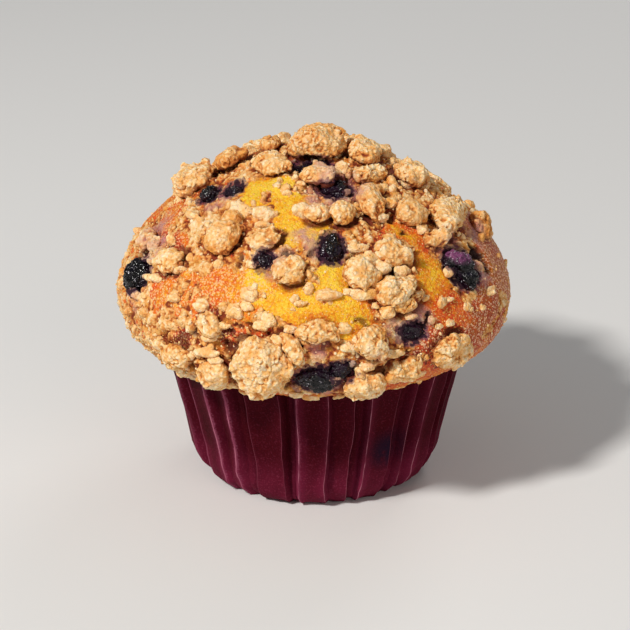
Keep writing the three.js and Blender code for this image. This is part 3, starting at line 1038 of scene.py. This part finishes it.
SKIN_BLACK = srgb(2, 1, 3)
BLOOM_BLUE = srgb(26, 16, 42)
DARK_FLESH = srgb(50, 16, 46)
PALE_FLESH = srgb(142, 76, 122)
DUST_AND_GLINT = srgb(220, 214, 224)
SKIN = {"Specular IOR Level": 0.15, "Coat Weight": 0.4, "Coat Roughness": 0.04}
skin = Finish("baked berry skin", SKIN)
bloom = skin.noise(2.8 * MM, 3.0).ease(0.5, 0.75)
colour = skin.mix(bloom * 0.35, SKIN_BLACK, BLOOM_BLUE)
pulp = skin.noise(1.6 * MM, 3.0)
flesh_colour = skin.mix(pulp.ease(0.3, 0.7), DARK_FLESH, PALE_FLESH)
uneven_lift = skin.field("lift") + 0.3 * skin.noise(2.4 * MM)
low = 1 - (uneven_lift - 0.15).ease(-0.05, 0.1)
colour = skin.mix(low * 0.4, colour, DARK_FLESH)
colour = skin.mix(skin.field("flesh") * 0.9, colour, flesh_colour)
# Pale dots on the skin: partly a real pale powder on it, partly painted glints.
dust_and_glint_patches = skin.noise(3 * MM).ease(0.45, 0.6)
dust_and_glint = skin.noise(0.4 * MM, 0.0).ease(0.72, 0.77)
colour = skin.mix(dust_and_glint * dust_and_glint_patches * 0.8, colour, DUST_AND_GLINT)
shine = 0.08 + 0.3 * skin.noise(1.8 * MM)
bumps = skin.noise(0.9 * MM, 3.0)
berry_skin = skin.done(colour, bumps, 0.8 * MM, shine)

BERRY_SINK = 0.6 * MM
# By the number of the berry: how much less it is sunk, in millimetres.
PROUD_BERRIES = {"01": 0.3, "02": 0.3, "06": 0.4, "10": 0.3}
ROUNDING = 4
BURST_BERRY = "07"
# Its lips and its hole: turn and rise in degrees, reach and push in millimetres.
BURST_PUSHES = [(53, 22, 3.0, 1.8), (61, 18, 2.4, -2.6), (50, 11, 2.2, 0.9)]
FLESH_SPOT = (53, 22, 1 * MM)


def push_out(points, centre, reach, amount):
    """Moves the points near centre away from the middle of the cap."""
    near = np.exp(-((np.linalg.norm(points - centre, axis=1) / reach) ** 2))
    return points + outwards(points) * (near * amount)[:, None]


wrinkled = relief_tree("berry relief", berry_relief)
for node in BERRIES:
    number = node[-2:]
    berry = merged_copy(node, "baked_berry_" + number)
    rounding = berry.modifiers.new("rounding", "SUBSURF")
    rounding.levels = rounding.render_levels = ROUNDING
    shape_by(berry, wrinkled)
    apply_modifiers(berry)
    low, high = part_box(node)
    sinking = CAP_CENTRE - berry_centres[node]
    sunk = BERRY_SINK - PROUD_BERRIES.get(number, 0) * MM
    points = (points_of(berry) - (low + high) / 2) * berry_stretches[node] + berry_centres[node]
    points += sinking / np.linalg.norm(sinking) * sunk
    flesh = np.zeros(len(points))
    if number == BURST_BERRY:
        for turn, rise, reach, push in BURST_PUSHES:
            points = push_out(points, cap_point(turn, rise), reach * MM, push * MM)
        from_spot = np.linalg.norm(points - cap_point(*FLESH_SPOT), axis=1)
        flesh = 1 - ease(from_spot, 3.2 * MM, 4.6 * MM)
    move_points(berry, points)
    store(berry, "flesh", flesh)
    mark(berry)
    dress(berry, berry_skin)
    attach(berry, "root")
    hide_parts(node)
print(len(BERRIES), "berries")

# %% [markdown]
# ## Loose crumbs
#
# Between the lumps lie hundreds of crumbs from nearly four millimetres down to grains, and
# crystals of sugar where the crust is bare. They are real mesh, because their shadows and
# outline are what make the coat look dry and short. A few shapes are modelled once: squeezed
# balls, larger ones with knobs welded on, and blocks with cut corners for the sugar. A
# geometry tree strews them over the cake, with random turn and size, and makes them one mesh
# for each kind.

# %% Shapes to strew
def shape_set(name, count, model):
    """A collection of the shapes that model makes when it is given 0, 1, 2 and so on."""
    shapes = bpy.data.collections.new(name)
    bpy.context.scene.collection.children.link(shapes)
    for k in range(count):
        bpy.ops.object.select_all(action="DESELECT")
        model(k)
        shape = bpy.context.object
        for group in list(shape.users_collection):
            group.objects.unlink(shape)
        shapes.objects.link(shape)
    return shapes


def crumb_shapes(name, count, fineness, seed):
    """A few uneven crumbs, each a ball a metre across that is squeezed and pulled about."""
    def model(k):
        bpy.ops.mesh.primitive_ico_sphere_add(subdivisions=fineness, radius=0.5)
        points = points_of(bpy.context.object)
        points *= (1 + 0.34 * rough(points, 0.5, seed + 7.3 * k))[:, None]
        move_points(bpy.context.object, points * (1.1, 0.95, 0.8))
        bpy.ops.object.shade_smooth()

    return shape_set(name, count, model)


def model_crystal(k):
    """A sugar crystal: a block with its corners cut, each worn differently."""
    bpy.ops.mesh.primitive_cube_add(size=0.8)
    edit_mode()
    bpy.ops.mesh.bevel(offset=0.16 + 0.03 * k, segments=1, affect="EDGES")
    object_mode()
    crystal = bpy.context.object
    move_points(crystal, points_of(crystal) * (1, 0.8 + 0.06 * k, 0.7))


def forget(shapes):
    for shape in list(shapes.objects):
        bpy.data.objects.remove(shape)
    bpy.data.collections.remove(shapes)


# %% Strew and join
def strew_tree(name, shapes, density, spacing, sizes, seed):
    """A tree that strews shapes over the skin that comes in, most of them small."""
    net = Shaping(name)
    spots = net.scatter(net.field(density), spacing, seed)
    inputs = {"Collection": shapes, "Separate Children": True, "Reset Children": True}
    source = net.add("GeometryNodeCollectionInfo", None, inputs)
    inputs = {"Points": spots, "Instance": source, "Pick Instance": True}
    inputs["Rotation"] = net.turn(math.tau, seed + 2)
    inputs["Scale"] = net.size(*sizes, seed + 1)
    crumbs = net.add("GeometryNodeInstanceOnPoints", None, inputs)
    toned = net.keep(crumbs, "tone", net.chance(seed + 3), "INSTANCE")
    return net.done(net.add("GeometryNodeRealizeInstances", None, {"Geometry": toned}))


strewn = Finish("strewn crumbs", {"Roughness": 0.8, **SOFT_CRUMB})
colour = crumble_colour(strewn, 0.4 + 0.4 * strewn.field("tone"))
strewn_finish = strewn.done(colour, strewn.grains(0.45 * MM), 0.12 * MM)


def strew(name, shapes, density, spacing, sizes, seed, finish):
    """Strews shapes over the cake as one piece, with spacing and sizes in millimetres."""
    crumbs = own_copy(cake, name)
    sizes = [size * MM for size in sizes]
    shape_by(crumbs, strew_tree(name, shapes, density, spacing * MM, sizes, seed))
    apply_modifiers(crumbs)
    dress(crumbs, finish)
    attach(crumbs, "root")
    print(name, len(crumbs.data.polygons), "faces")


# %% Sugar crystals
AMBER_SUGAR = srgb(236, 166, 84)
PALE_SUGAR = srgb(250, 218, 166)
ROSY_SUGAR = srgb(206, 142, 140)
sugar = Finish("baked sugar", {"Roughness": 0.4})
pale = sugar.mix(sugar.field("tone"), AMBER_SUGAR, PALE_SUGAR)
pale = sugar.mix(sugar.field("juice") * 0.6, pale, ROSY_SUGAR)
sugar_finish = sugar.done(pale, sugar.noise(0.3 * MM, 1.0), 0.05 * MM)

# %% Where they lie
SWEPT_PATCHES = [(54, 23, 4.5), (62, 18, 4), (50, 12, 3)]
cake_points = points_of(cake)
ragged_edge = 0.9 * MM * rough(cake_points, 2.2 * MM, 61.0)
clear = ease(berry_gap(cake_points) + ragged_edge, -0.6 * MM, 0.4 * MM)
clear *= 1 - cover(cake_points, SWEPT_PATCHES)
patchy = rough(cake_points, 5.5 * MM, 23.0)
coat_now = recall(cake, "coat")
clear *= 1 - 0.9 * gap_share
beside_lump = 1 - ease(gaps, 1 * MM, 3 * MM)
on_cap = ease(cake_points[:, 2], 36 * MM, 39 * MM)
sprinkled = 0.3 * ease(rough(cake_points, 4 * MM, 83.0), 0.1, 0.9)
sandy = cover(cake_points, SANDY_PATCHES)
store(cake, "grain_density", on_cap * clear * (0.04 + sprinkled + 0.7 * coat_now + 0.5 * sandy))
clear *= 1 - 0.8 * sandy
crumbs_here = 0.04 + coat_now * ease(patchy, -0.2, 0.9) * 0.5 + heap_now
store(cake, "crumb_density", on_cap * clear * crumbs_here)
nuggets_here = coat_now * ease(patchy, 0.3, 1.0) * 0.4 + 0.45 * heap_now
nuggets_here += 0.25 * beside_lump * coat_now
store(cake, "nugget_density", on_cap * clear * nuggets_here)
store(cake, "sugar_density", on_cap * clear * (1 - coat_now) * 0.6)

# %% Model the shapes and strew them
NUGGET_WELD = 0.085

fine_shapes = crumb_shapes("fine shapes", 6, 1, 1.0)
crumb_forms = crumb_shapes("crumb shapes", 8, 2, 2.0)
nugget_forms = crumb_shapes("nugget shapes", 6, 3, 5.0)
clump_knobs = knob_tree("clump knobs", 0.3, (0.12, 0.34), 0.1, 0.1)
for shape in list(nugget_forms.objects):
    shape_by(shape, clump_knobs)
    weld(shape, NUGGET_WELD, 2)
    bpy.context.scene.collection.objects.link(shape)
    apply_modifiers(shape)
    bpy.ops.object.shade_smooth()
    bpy.context.scene.collection.objects.unlink(shape)
crystals = shape_set("crystal shapes", 4, model_crystal)
strew("fine_grains", fine_shapes, "grain_density", 1.15, (0.4, 1.0), 11, strewn_finish)
strew("small_crumbs", crumb_forms, "crumb_density", 1.6, (1.1, 2.5), 23, strewn_finish)
strew("nuggets", nugget_forms, "nugget_density", 3.2, (1.9, 3.6), 37, strewn_finish)
strew("sugar_crystals", crystals, "sugar_density", 0.85, (0.26, 0.52), 41, sugar_finish)

# %% [markdown]
# ## Crumbs that stand alone
#
# Strewing by chance gives an even coat, but the eye also finds single crumbs, at the edge of
# a bare patch or high on a shoulder. Those are laid one by one from a list of places and
# sizes: each is a copy of a nugget, stretched to its width and height, and all are joined at
# the end.

# %% Lay the crumbs that stand alone
CRUMB_LIFT = 0.3 * MM
CRUMB_FLATNESS = 0.75
LONE_TONE = 0.7
# Turn and rise in degrees, width and height in millimetres.
LONE_CRUMBS = [
    (39, 10, 2.5, 3.8), (34, 12, 1.5, 2.2), (34, 6, 2, 2), (47, 7, 2, 2.5), (53, 5, 1.8, 1.8),
    (59, 8, 3.2, 2.8), (60, 26, 1.5, 1.5), (4, 16, 5, 3.5), (-2, 18, 2.5, 3), (-13, 9, 3, 4.5),
    (-20, 15, 3.5, 4), (-22, 24, 2.5, 2), (-5, 46, 4.5, 5), (2, 44, 4.5, 4), (16, 30, 5.5, 2.2),
    (15, 16, 6, 3.5), (40, 4, 2.5, 2), (-38, 42, 5.5, 5), (-24, 43, 4.5, 4.5),
    (-44, 10, 3.2, 3.5), (-34, 10, 4, 3.2), (-20, 12, 2.8, 2.8), (-23, 10, 4, 4), (-62, 6, 3, 3),
    (-20, 31, 4.2, 4.5), (-18, 54, 2, 2), (-6, 15, 2.2, 2.2), (8, 8, 2.2, 2), (-1, -19, 4, 2),
    (-6, -16, 3, 2), (8, -18, 2.5, 1.8), (22, 22, 4, 3.5), (20, 26, 3.5, 3), (29, 21, 3.5, 3.5),
    (46, 17, 3.5, 3), (5, -8, 3, 2.5), (-30, -2, 5, 3.5), (-28, -4, 3.5, 3), (-44, -14, 4, 2.5),
    (-26, -13, 3.5, 2.5), (-67, 20, 3.5, 4.5), (-40, -4, 4, 3.5), (-47, -20, 4, 2.2),
    (-24, -20, 3.5, 2), (-48, -4, 3, 3), (22, -1, 4, 2.5), (31, -10, 3.5, 2.2),
    (14, -4, 3.5, 2.5), (-58, 12, 3, 2.5), (-66, 15, 2.2, 2.2), (-62, 16, 2.5, 2),
    (-66, 5, 3, 2.2), (-58, 6, 3, 2.2), (42, 45, 3.5, 3.5), (32, 40, 3, 3), (74, 44, 2.5, 2.2),
    (19, 26, 3.5, 4), (24, 24, 4, 3.5), (16, 16, 3, 3.5), (10, 17, 2.2, 2), (24, 13, 3.5, 2.5),
    (28, 8, 2.5, 2), (8, 7, 3.5, 2.2), (12, 4, 3, 2.5), (9, 2, 3.5, 2.5), (15, 1, 3, 2.2),
    (-4, 14, 2.5, 2), (-23, 38, 3.5, 3), (-25, 32, 3, 2.5), (-10, 4, 3, 3), (-15, 7, 3.5, 2.5),
    (-7, 7, 2.5, 2.5), (-26, 6, 3, 2.5), (-30, 2, 3.5, 3), (-36, -4, 3.5, 2.5),
    (-46, -15, 3.5, 3), (-45, -6, 3, 3), (-31, -8, 2.5, 2.5), (-28, -14, 3, 2.2),
    (15, 46, 2.5, 2.2), (20, 54, 2.2, 2), (32, 50, 2.5, 2), (-10, 60, 2.2, 1.8), (46, 32, 3, 3),
    (60, 36, 3, 2.2), (42, 10, 1.8, 1.5), (48, 6, 1.5, 1.5), (36, 4, 2, 1.8), (41, -2, 1.8, 1.5),
    (-66, 6, 3.5, 3), (-54, 13, 3, 3), (-58, 34, 4, 3.5), (112, 44, 4, 4), (150, 4, 4, 3.5),
    (196, 42, 4.5, 4), (222, 14, 4, 4), (246, 26, 4, 3.5), (140, 30, 4, 4), (174, 58, 4, 4),
    (128, 28, 6, 5), (122, 4, 5.5, 5), (142, 44, 6, 5.5), (154, 32, 5, 4.5), (164, 2, 6, 5),
    (172, 14, 5, 5), (184, 10, 5.5, 5), (198, 28, 6, 5), (204, 12, 5.5, 5), (216, 26, 6, 5.5),
    (226, 50, 6, 5), (234, 20, 5.5, 5), (206, 56, 5.5, 5), (240, -8, 5, 4.5), (228, -4, 5.5, 4.5),
    (196, -10, 6, 4.5), (178, -12, 5.5, 4.5), (150, -4, 4, 4), (136, 10, 5, 4.5),
    (106, 18, 5, 4.5), (100, -4, 5.5, 5), (248, 10, 5.5, 5), (254, 34, 5, 5), (214, 66, 5, 4.5),
    (108, 62, 5, 4.5),
]


def lay_crumb(form, turn, rise, width, height):
    """A copy of form lying on the cap, with that width and height."""
    spot = cap_point(turn, rise, CRUMB_LIFT)
    out = (Vector(spot) - Vector(CAP_CENTRE)).normalized()
    across = Vector((0, 0, 1)).cross(out).normalized()
    up = out.cross(across)
    depth = CRUMB_FLATNESS * min(width, height)
    sides = [axis * size * MM for axis, size in ((across, width), (out, depth), (up, height))]
    crumb = own_copy(form, "crumb")
    crumb.data.transform(Matrix.Translation(spot) @ Matrix(sides).transposed().to_4x4())
    return crumb


forms = list(nugget_forms.objects)
lone = [lay_crumb(forms[k % len(forms)], *row) for k, row in enumerate(LONE_CRUMBS)]
alone(lone[0])
for crumb in lone:
    crumb.select_set(True)
bpy.ops.object.join()
lone_crumbs = lone[0]
lone_crumbs.name = lone_crumbs.data.name = "lone_crumbs"
mark(lone_crumbs)
store(lone_crumbs, "tone", np.full(len(lone_crumbs.data.vertices), LONE_TONE))
dress(lone_crumbs, strewn_finish)
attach(lone_crumbs, "root")
print("lone crumbs", len(lone_crumbs.data.polygons), "faces")
for shapes in (fine_shapes, crumb_forms, nugget_forms, crystals):
    forget(shapes)

# %% [markdown]
# ## The paper case
#
# The case is one round of greaseproof paper, pressed into folds that fan out from the floor
# and open as the cake swells. Its folds are where the frame's are. The inner skin of the
# frame's solid is cut away, folds are bevelled so that each ridge has a narrow strip of its
# own, painted paler as partly scuffing and partly painted highlight, and subdivision rounds
# the corner between wall and floor. Thickness comes last.

# %% Keep the outside of the frame's shell
RIM_SLACK = 0.1 * MM
FLAT_ENOUGH = math.radians(60)

case = merged_copy("paper_case", "folded_case")
edit_mode()
bpy.ops.mesh.select_all(action="DESELECT")
object_mode()
rim_height = points_of(case)[:, 2].max()
inner_faces = 0
for face in case.data.polygons:
    centre, normal = face.center, face.normal
    level = Vector((centre.x, centre.y, 0))
    outward = normal.dot(level.normalized()) if level.length > 1 * MM else 0.0
    at_rim = abs(centre.z - rim_height) < RIM_SLACK
    is_inner = outward < -0.2 or (outward < 0.5 and normal.z > 0.3)
    face.select = at_rim or is_inner
    inner_faces += face.select
edit_mode()
bpy.ops.mesh.delete(type="FACE")
bpy.ops.mesh.select_all(action="SELECT")
bpy.ops.mesh.tris_convert_to_quads(face_threshold=FLAT_ENOUGH, shape_threshold=FLAT_ENOUGH)
object_mode()
print("case loses", inner_faces, "inner faces and keeps", len(case.data.polygons))

# %% Choose the folds
WALL_START = 5 * MM
FLOOR_SLACK = 0.01 * MM
CLIMB = 0.5 * MM
# In degrees.
SAME_TURN = 0.05


def turns_of(points):
    """The turn of each point from the front, in degrees."""
    return np.degrees(np.arctan2(points[:, 0], -points[:, 1]))


def select_edges(piece, choose):
    """Selects the edges for which choose says yes to their two points, and no others."""
    edit_mode()
    bpy.ops.mesh.select_mode(type="EDGE")
    bpy.ops.mesh.select_all(action="DESELECT")
    object_mode()
    points = points_of(piece)
    for edge in piece.data.edges:
        edge.select = bool(choose(*points[list(edge.vertices)]))
    edit_mode()


def off_middle(a, b):
    return min(math.hypot(*a[:2]), math.hypot(*b[:2])) > WALL_START


def runs_up(a, b):
    return off_middle(a, b) and abs(a[2] - b[2]) > CLIMB


def on_floor(a, b):
    return off_middle(a, b) and max(a[2], b[2]) < FLOOR_SLACK


# %% Bevel and crease the folds
RIDGE_WIDTH = 0.09 * MM
GROOVE_WIDTH = 0.12 * MM
RIDGE_REACH = 0.8 * MM


def bevel_folds(piece, turns, width, finish):
    """Bevels the folds at those turns and gives the strip that finish slot."""
    def at_fold(a, b):
        near = np.abs(turns_of(np.array([a, b]))[:, None] - turns).min(axis=1)
        return runs_up(a, b) and near.max() < SAME_TURN

    select_edges(piece, at_fold)
    bpy.ops.mesh.bevel(offset=width, segments=2, affect="EDGES", material=finish)
    object_mode()


rim = points_of(case)
rim = rim[rim[:, 2] > rim_height - RIM_SLACK]
reach = np.hypot(rim[:, 0], rim[:, 1])
stands_out = reach > reach.max() - RIDGE_REACH
ridges, grooves = turns_of(rim[stands_out]), turns_of(rim[~stands_out])
paper = Finish("burgundy paper", {"Roughness": 0.75, "Specular IOR Level": 0.04})
# The ridge strips get a paler finish: partly scuffing, partly painted highlight.
rubbed_and_lit = Finish("rubbed fold of the paper", {"Roughness": 0.6, "Specular IOR Level": 0.1})
case.data.materials.append(paper.material)
case.data.materials.append(rubbed_and_lit.material)
bevel_folds(case, grooves, GROOVE_WIDTH, 0)
bevel_folds(case, ridges, RIDGE_WIDTH, 1)
for choose in (runs_up, on_floor):
    select_edges(case, choose)
    bpy.ops.transform.edge_crease(value=1)
object_mode()
print(len(ridges), "ridges and", len(grooves), "grooves")

# %% Round, crumple and thicken
PAPER = 0.14 * MM
RIM_STRETCH = 1.02
# A fold this wide or wider, in degrees, bulges fully.
WIDE_FOLD = 14
WEAR_AND_HIGHLIGHT_SEED = 5
TINY = 1e-6


def gap_to(points, turns):
    """How far each point is round the case from the nearest of those turns, in metres."""
    apart = np.abs(turns_of(points)[:, None] - turns)
    apart = np.radians(np.minimum(apart, 360 - apart).min(axis=1))
    return apart * np.hypot(points[:, 0], points[:, 1])


rounding = case.modifiers.new("rounding", "SUBSURF")
rounding.levels = rounding.render_levels = 2
apply_modifiers(case)
points = points_of(case)
corner = np.hypot(*points[points[:, 2] < 0.2 * MM, :2].T).max()
print("corner keeps radius", round(float(corner) / MM, 1))
level = np.hypot(points[:, 0], points[:, 1])
outward = points * (1, 1, 0) / np.maximum(level, TINY)[:, None]
sideways = np.stack([-outward[:, 1], outward[:, 0], outward[:, 2]], axis=1)
low_down = 1 - ease(points[:, 2], 3 * MM, 14 * MM)
on_wall = ease(level, 18 * MM, 24 * MM)
to_ridge, to_groove = gap_to(points, ridges), gap_to(points, grooves)
store(case, "to_ridge", to_ridge)
# Each ridge gets a random strength for its pale paint, partly scuffing, partly painted highlight.
ridge_wear_and_highlight = np.random.default_rng(WEAR_AND_HIGHLIGHT_SEED).uniform(0.1, 1.0, len(ridges)) ** 1.5
nearest_ridge = np.abs((turns_of(points)[:, None] - ridges + 180) % 360 - 180).argmin(axis=1)
store(case, "wear", ridge_wear_and_highlight[nearest_ridge])
deeper = to_ridge / (to_ridge + to_groove + TINY)
folds = np.sort(np.concatenate([ridges, grooves]))
after = np.searchsorted(folds, turns_of(points)) % len(folds)
before = after - 1
span = (folds[after] - folds[before]) % 360
share = ((turns_of(points) - folds[before]) % 360) / span
bulge = 4 * share * (1 - share) * np.minimum(span / WIDE_FOLD, 1)
sway = 0.5 * rough(points, 9 * MM, 3.0) + 0.14 * rough(points, 3 * MM, 8.0)
push = 0.22 * rough(points, 11 * MM, 13.0)
push += (0.1 + 0.25 * low_down) * rough(points, 3.2 * MM, 19.0)
push += bulge * (0.15 + 0.35 * rough(points, 16 * MM, 37.0)) - deeper
points += sideways * (sway * on_wall * MM)[:, None] + outward * (push * on_wall * MM)[:, None]
crumpled = 0.35 * MM * np.abs(rough(points, 4 * MM, 29.0)) * on_wall
points[:, 2] += crumpled * ease(points[:, 2], 0, 1 * MM)
points[:, 2] = np.maximum(points[:, 2], 0) * RIM_STRETCH
move_points(case, points)
thickness = case.modifiers.new("paper", "SOLIDIFY")
thickness.thickness = PAPER
thickness.offset = -1
apply_modifiers(case)
alone(case)
bpy.ops.object.shade_smooth_by_angle(angle=math.radians(38))
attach(case, "root")
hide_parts("paper_case")
print("case", len(case.data.polygons), "faces")

# %% [markdown]
# ## The paper's colours
#
# The paper is dyed burgundy right through. It is painted paler along and beside its ridges,
# which is partly scuffing where they touched the tin and fingers and partly painted
# highlight, and most on the left, which faces the lamp and is painted highlight. The paleness
# reads the distance to the nearest ridge that the mesh keeps, and is stronger on some ridges
# than on others. Fibres and flecks are fine noise, the foot is more magenta, and juice has
# soaked one plum stain into the front.

# %% Colour the paper
MM_PER_METRE = 1000
PAPER_GRAIN = 0.5 * MM
GRAIN_DEPTH = 0.08 * MM
MAGENTA_FOOT = srgb(116, 30, 56)
NEAR_FOLD = srgb(128, 36, 68)
WORN_AND_LIT_FOLD = srgb(176, 92, 122)
FLECK = srgb(134, 50, 74)
DYE, THIN_DYE = srgb(38, 1, 8), srgb(76, 8, 20)
WORN_LIT_FOLD, THIN_WORN_LIT_FOLD = srgb(70, 12, 26), srgb(118, 40, 60)
PLUM_STAIN = srgb(24, 16, 36)
BARE_PAPER_AND_HIGHLIGHT = srgb(208, 138, 156)


def paper_colour(net, base, pale):
    """Mottled dyed paper, magenta below, with scuffs and painted highlight along the ridges."""
    fibres = net.noise(PAPER_GRAIN, 3.0)
    cloudy = net.noise(7 * MM)
    height = net.add("ShaderNodeSeparateXYZ", None, {"Vector": net.place}, "Z")
    side = Wire(net, height.socket.node.outputs["X"])
    low = 1 - height.ease(4 * MM, 17 * MM)
    colour = net.mix(0.6 * fibres + 0.4 * cloudy, base, pale)
    colour = net.mix(low * (0.25 + 0.5 * net.noise(4 * MM)), colour, MAGENTA_FOOT)
    # Near the ridges the paper is painted paler, partly scuffing and partly painted highlight.
    wear = net.field("wear")
    from_ridge = net.field("to_ridge") * MM_PER_METRE
    near_ridge = 1 - (from_ridge + 1.6 * cloudy - 0.9).ease(0.0, 2.8)
    colour = net.mix(near_ridge * wear * (0.22 + 0.4 * low), colour, NEAR_FOLD)
    # Painted highlight: ridges on the left, which face the lamp, are painted paler.
    lit_side_highlight = side.ease(8 * MM, -26 * MM)
    # A thin pale line along each ridge: partly scuffing, partly painted highlight.
    ridge_line_wear_and_highlight = 1 - (from_ridge + 1.4 * fibres - 0.8).ease(0.0, 0.6)
    colour = net.mix(ridge_line_wear_and_highlight * wear * (0.06 + 0.5 * lit_side_highlight), colour, WORN_AND_LIT_FOLD)
    flecks = net.noise(0.45 * MM).ease(0.5, 0.75)
    return net.mix(flecks * (0.2 + 0.3 * low), colour, FLECK)


STAIN_CENTRE = (19 * MM, -29 * MM, 15 * MM)
colour = paper_colour(paper, DYE, THIN_DYE)
apart = {0: paper.place, 1: STAIN_CENTRE}
to_stain = paper.add("ShaderNodeVectorMath", {"operation": "DISTANCE"}, apart, 1)
stain = 1 - to_stain.ease(2 * MM, 8 * MM)
stain = stain * paper.noise(5 * MM, 3.0).ease(0.3, 0.5)
colour = paper.mix(stain * 0.85, colour, PLUM_STAIN)
paper.done(colour, paper.noise(PAPER_GRAIN, 3.0), GRAIN_DEPTH)
# Patches of each strip are painted nearly bare pink: partly scuffing, partly painted highlight.
worn_and_lit = rubbed_and_lit.noise(5 * MM).ease(0.35, 0.65)
fold_colour = paper_colour(rubbed_and_lit, WORN_LIT_FOLD, THIN_WORN_LIT_FOLD)
fold_colour = rubbed_and_lit.mix(worn_and_lit * rubbed_and_lit.field("wear") * 0.8, fold_colour, BARE_PAPER_AND_HIGHLIGHT)
rubbed_and_lit.done(fold_colour, rubbed_and_lit.noise(PAPER_GRAIN, 3.0), GRAIN_DEPTH)

# %% [markdown]
# ## The end
#
# Last, the view layer is brought up to date.

# %% Bring the view layer up to date
bpy.context.view_layer.update()
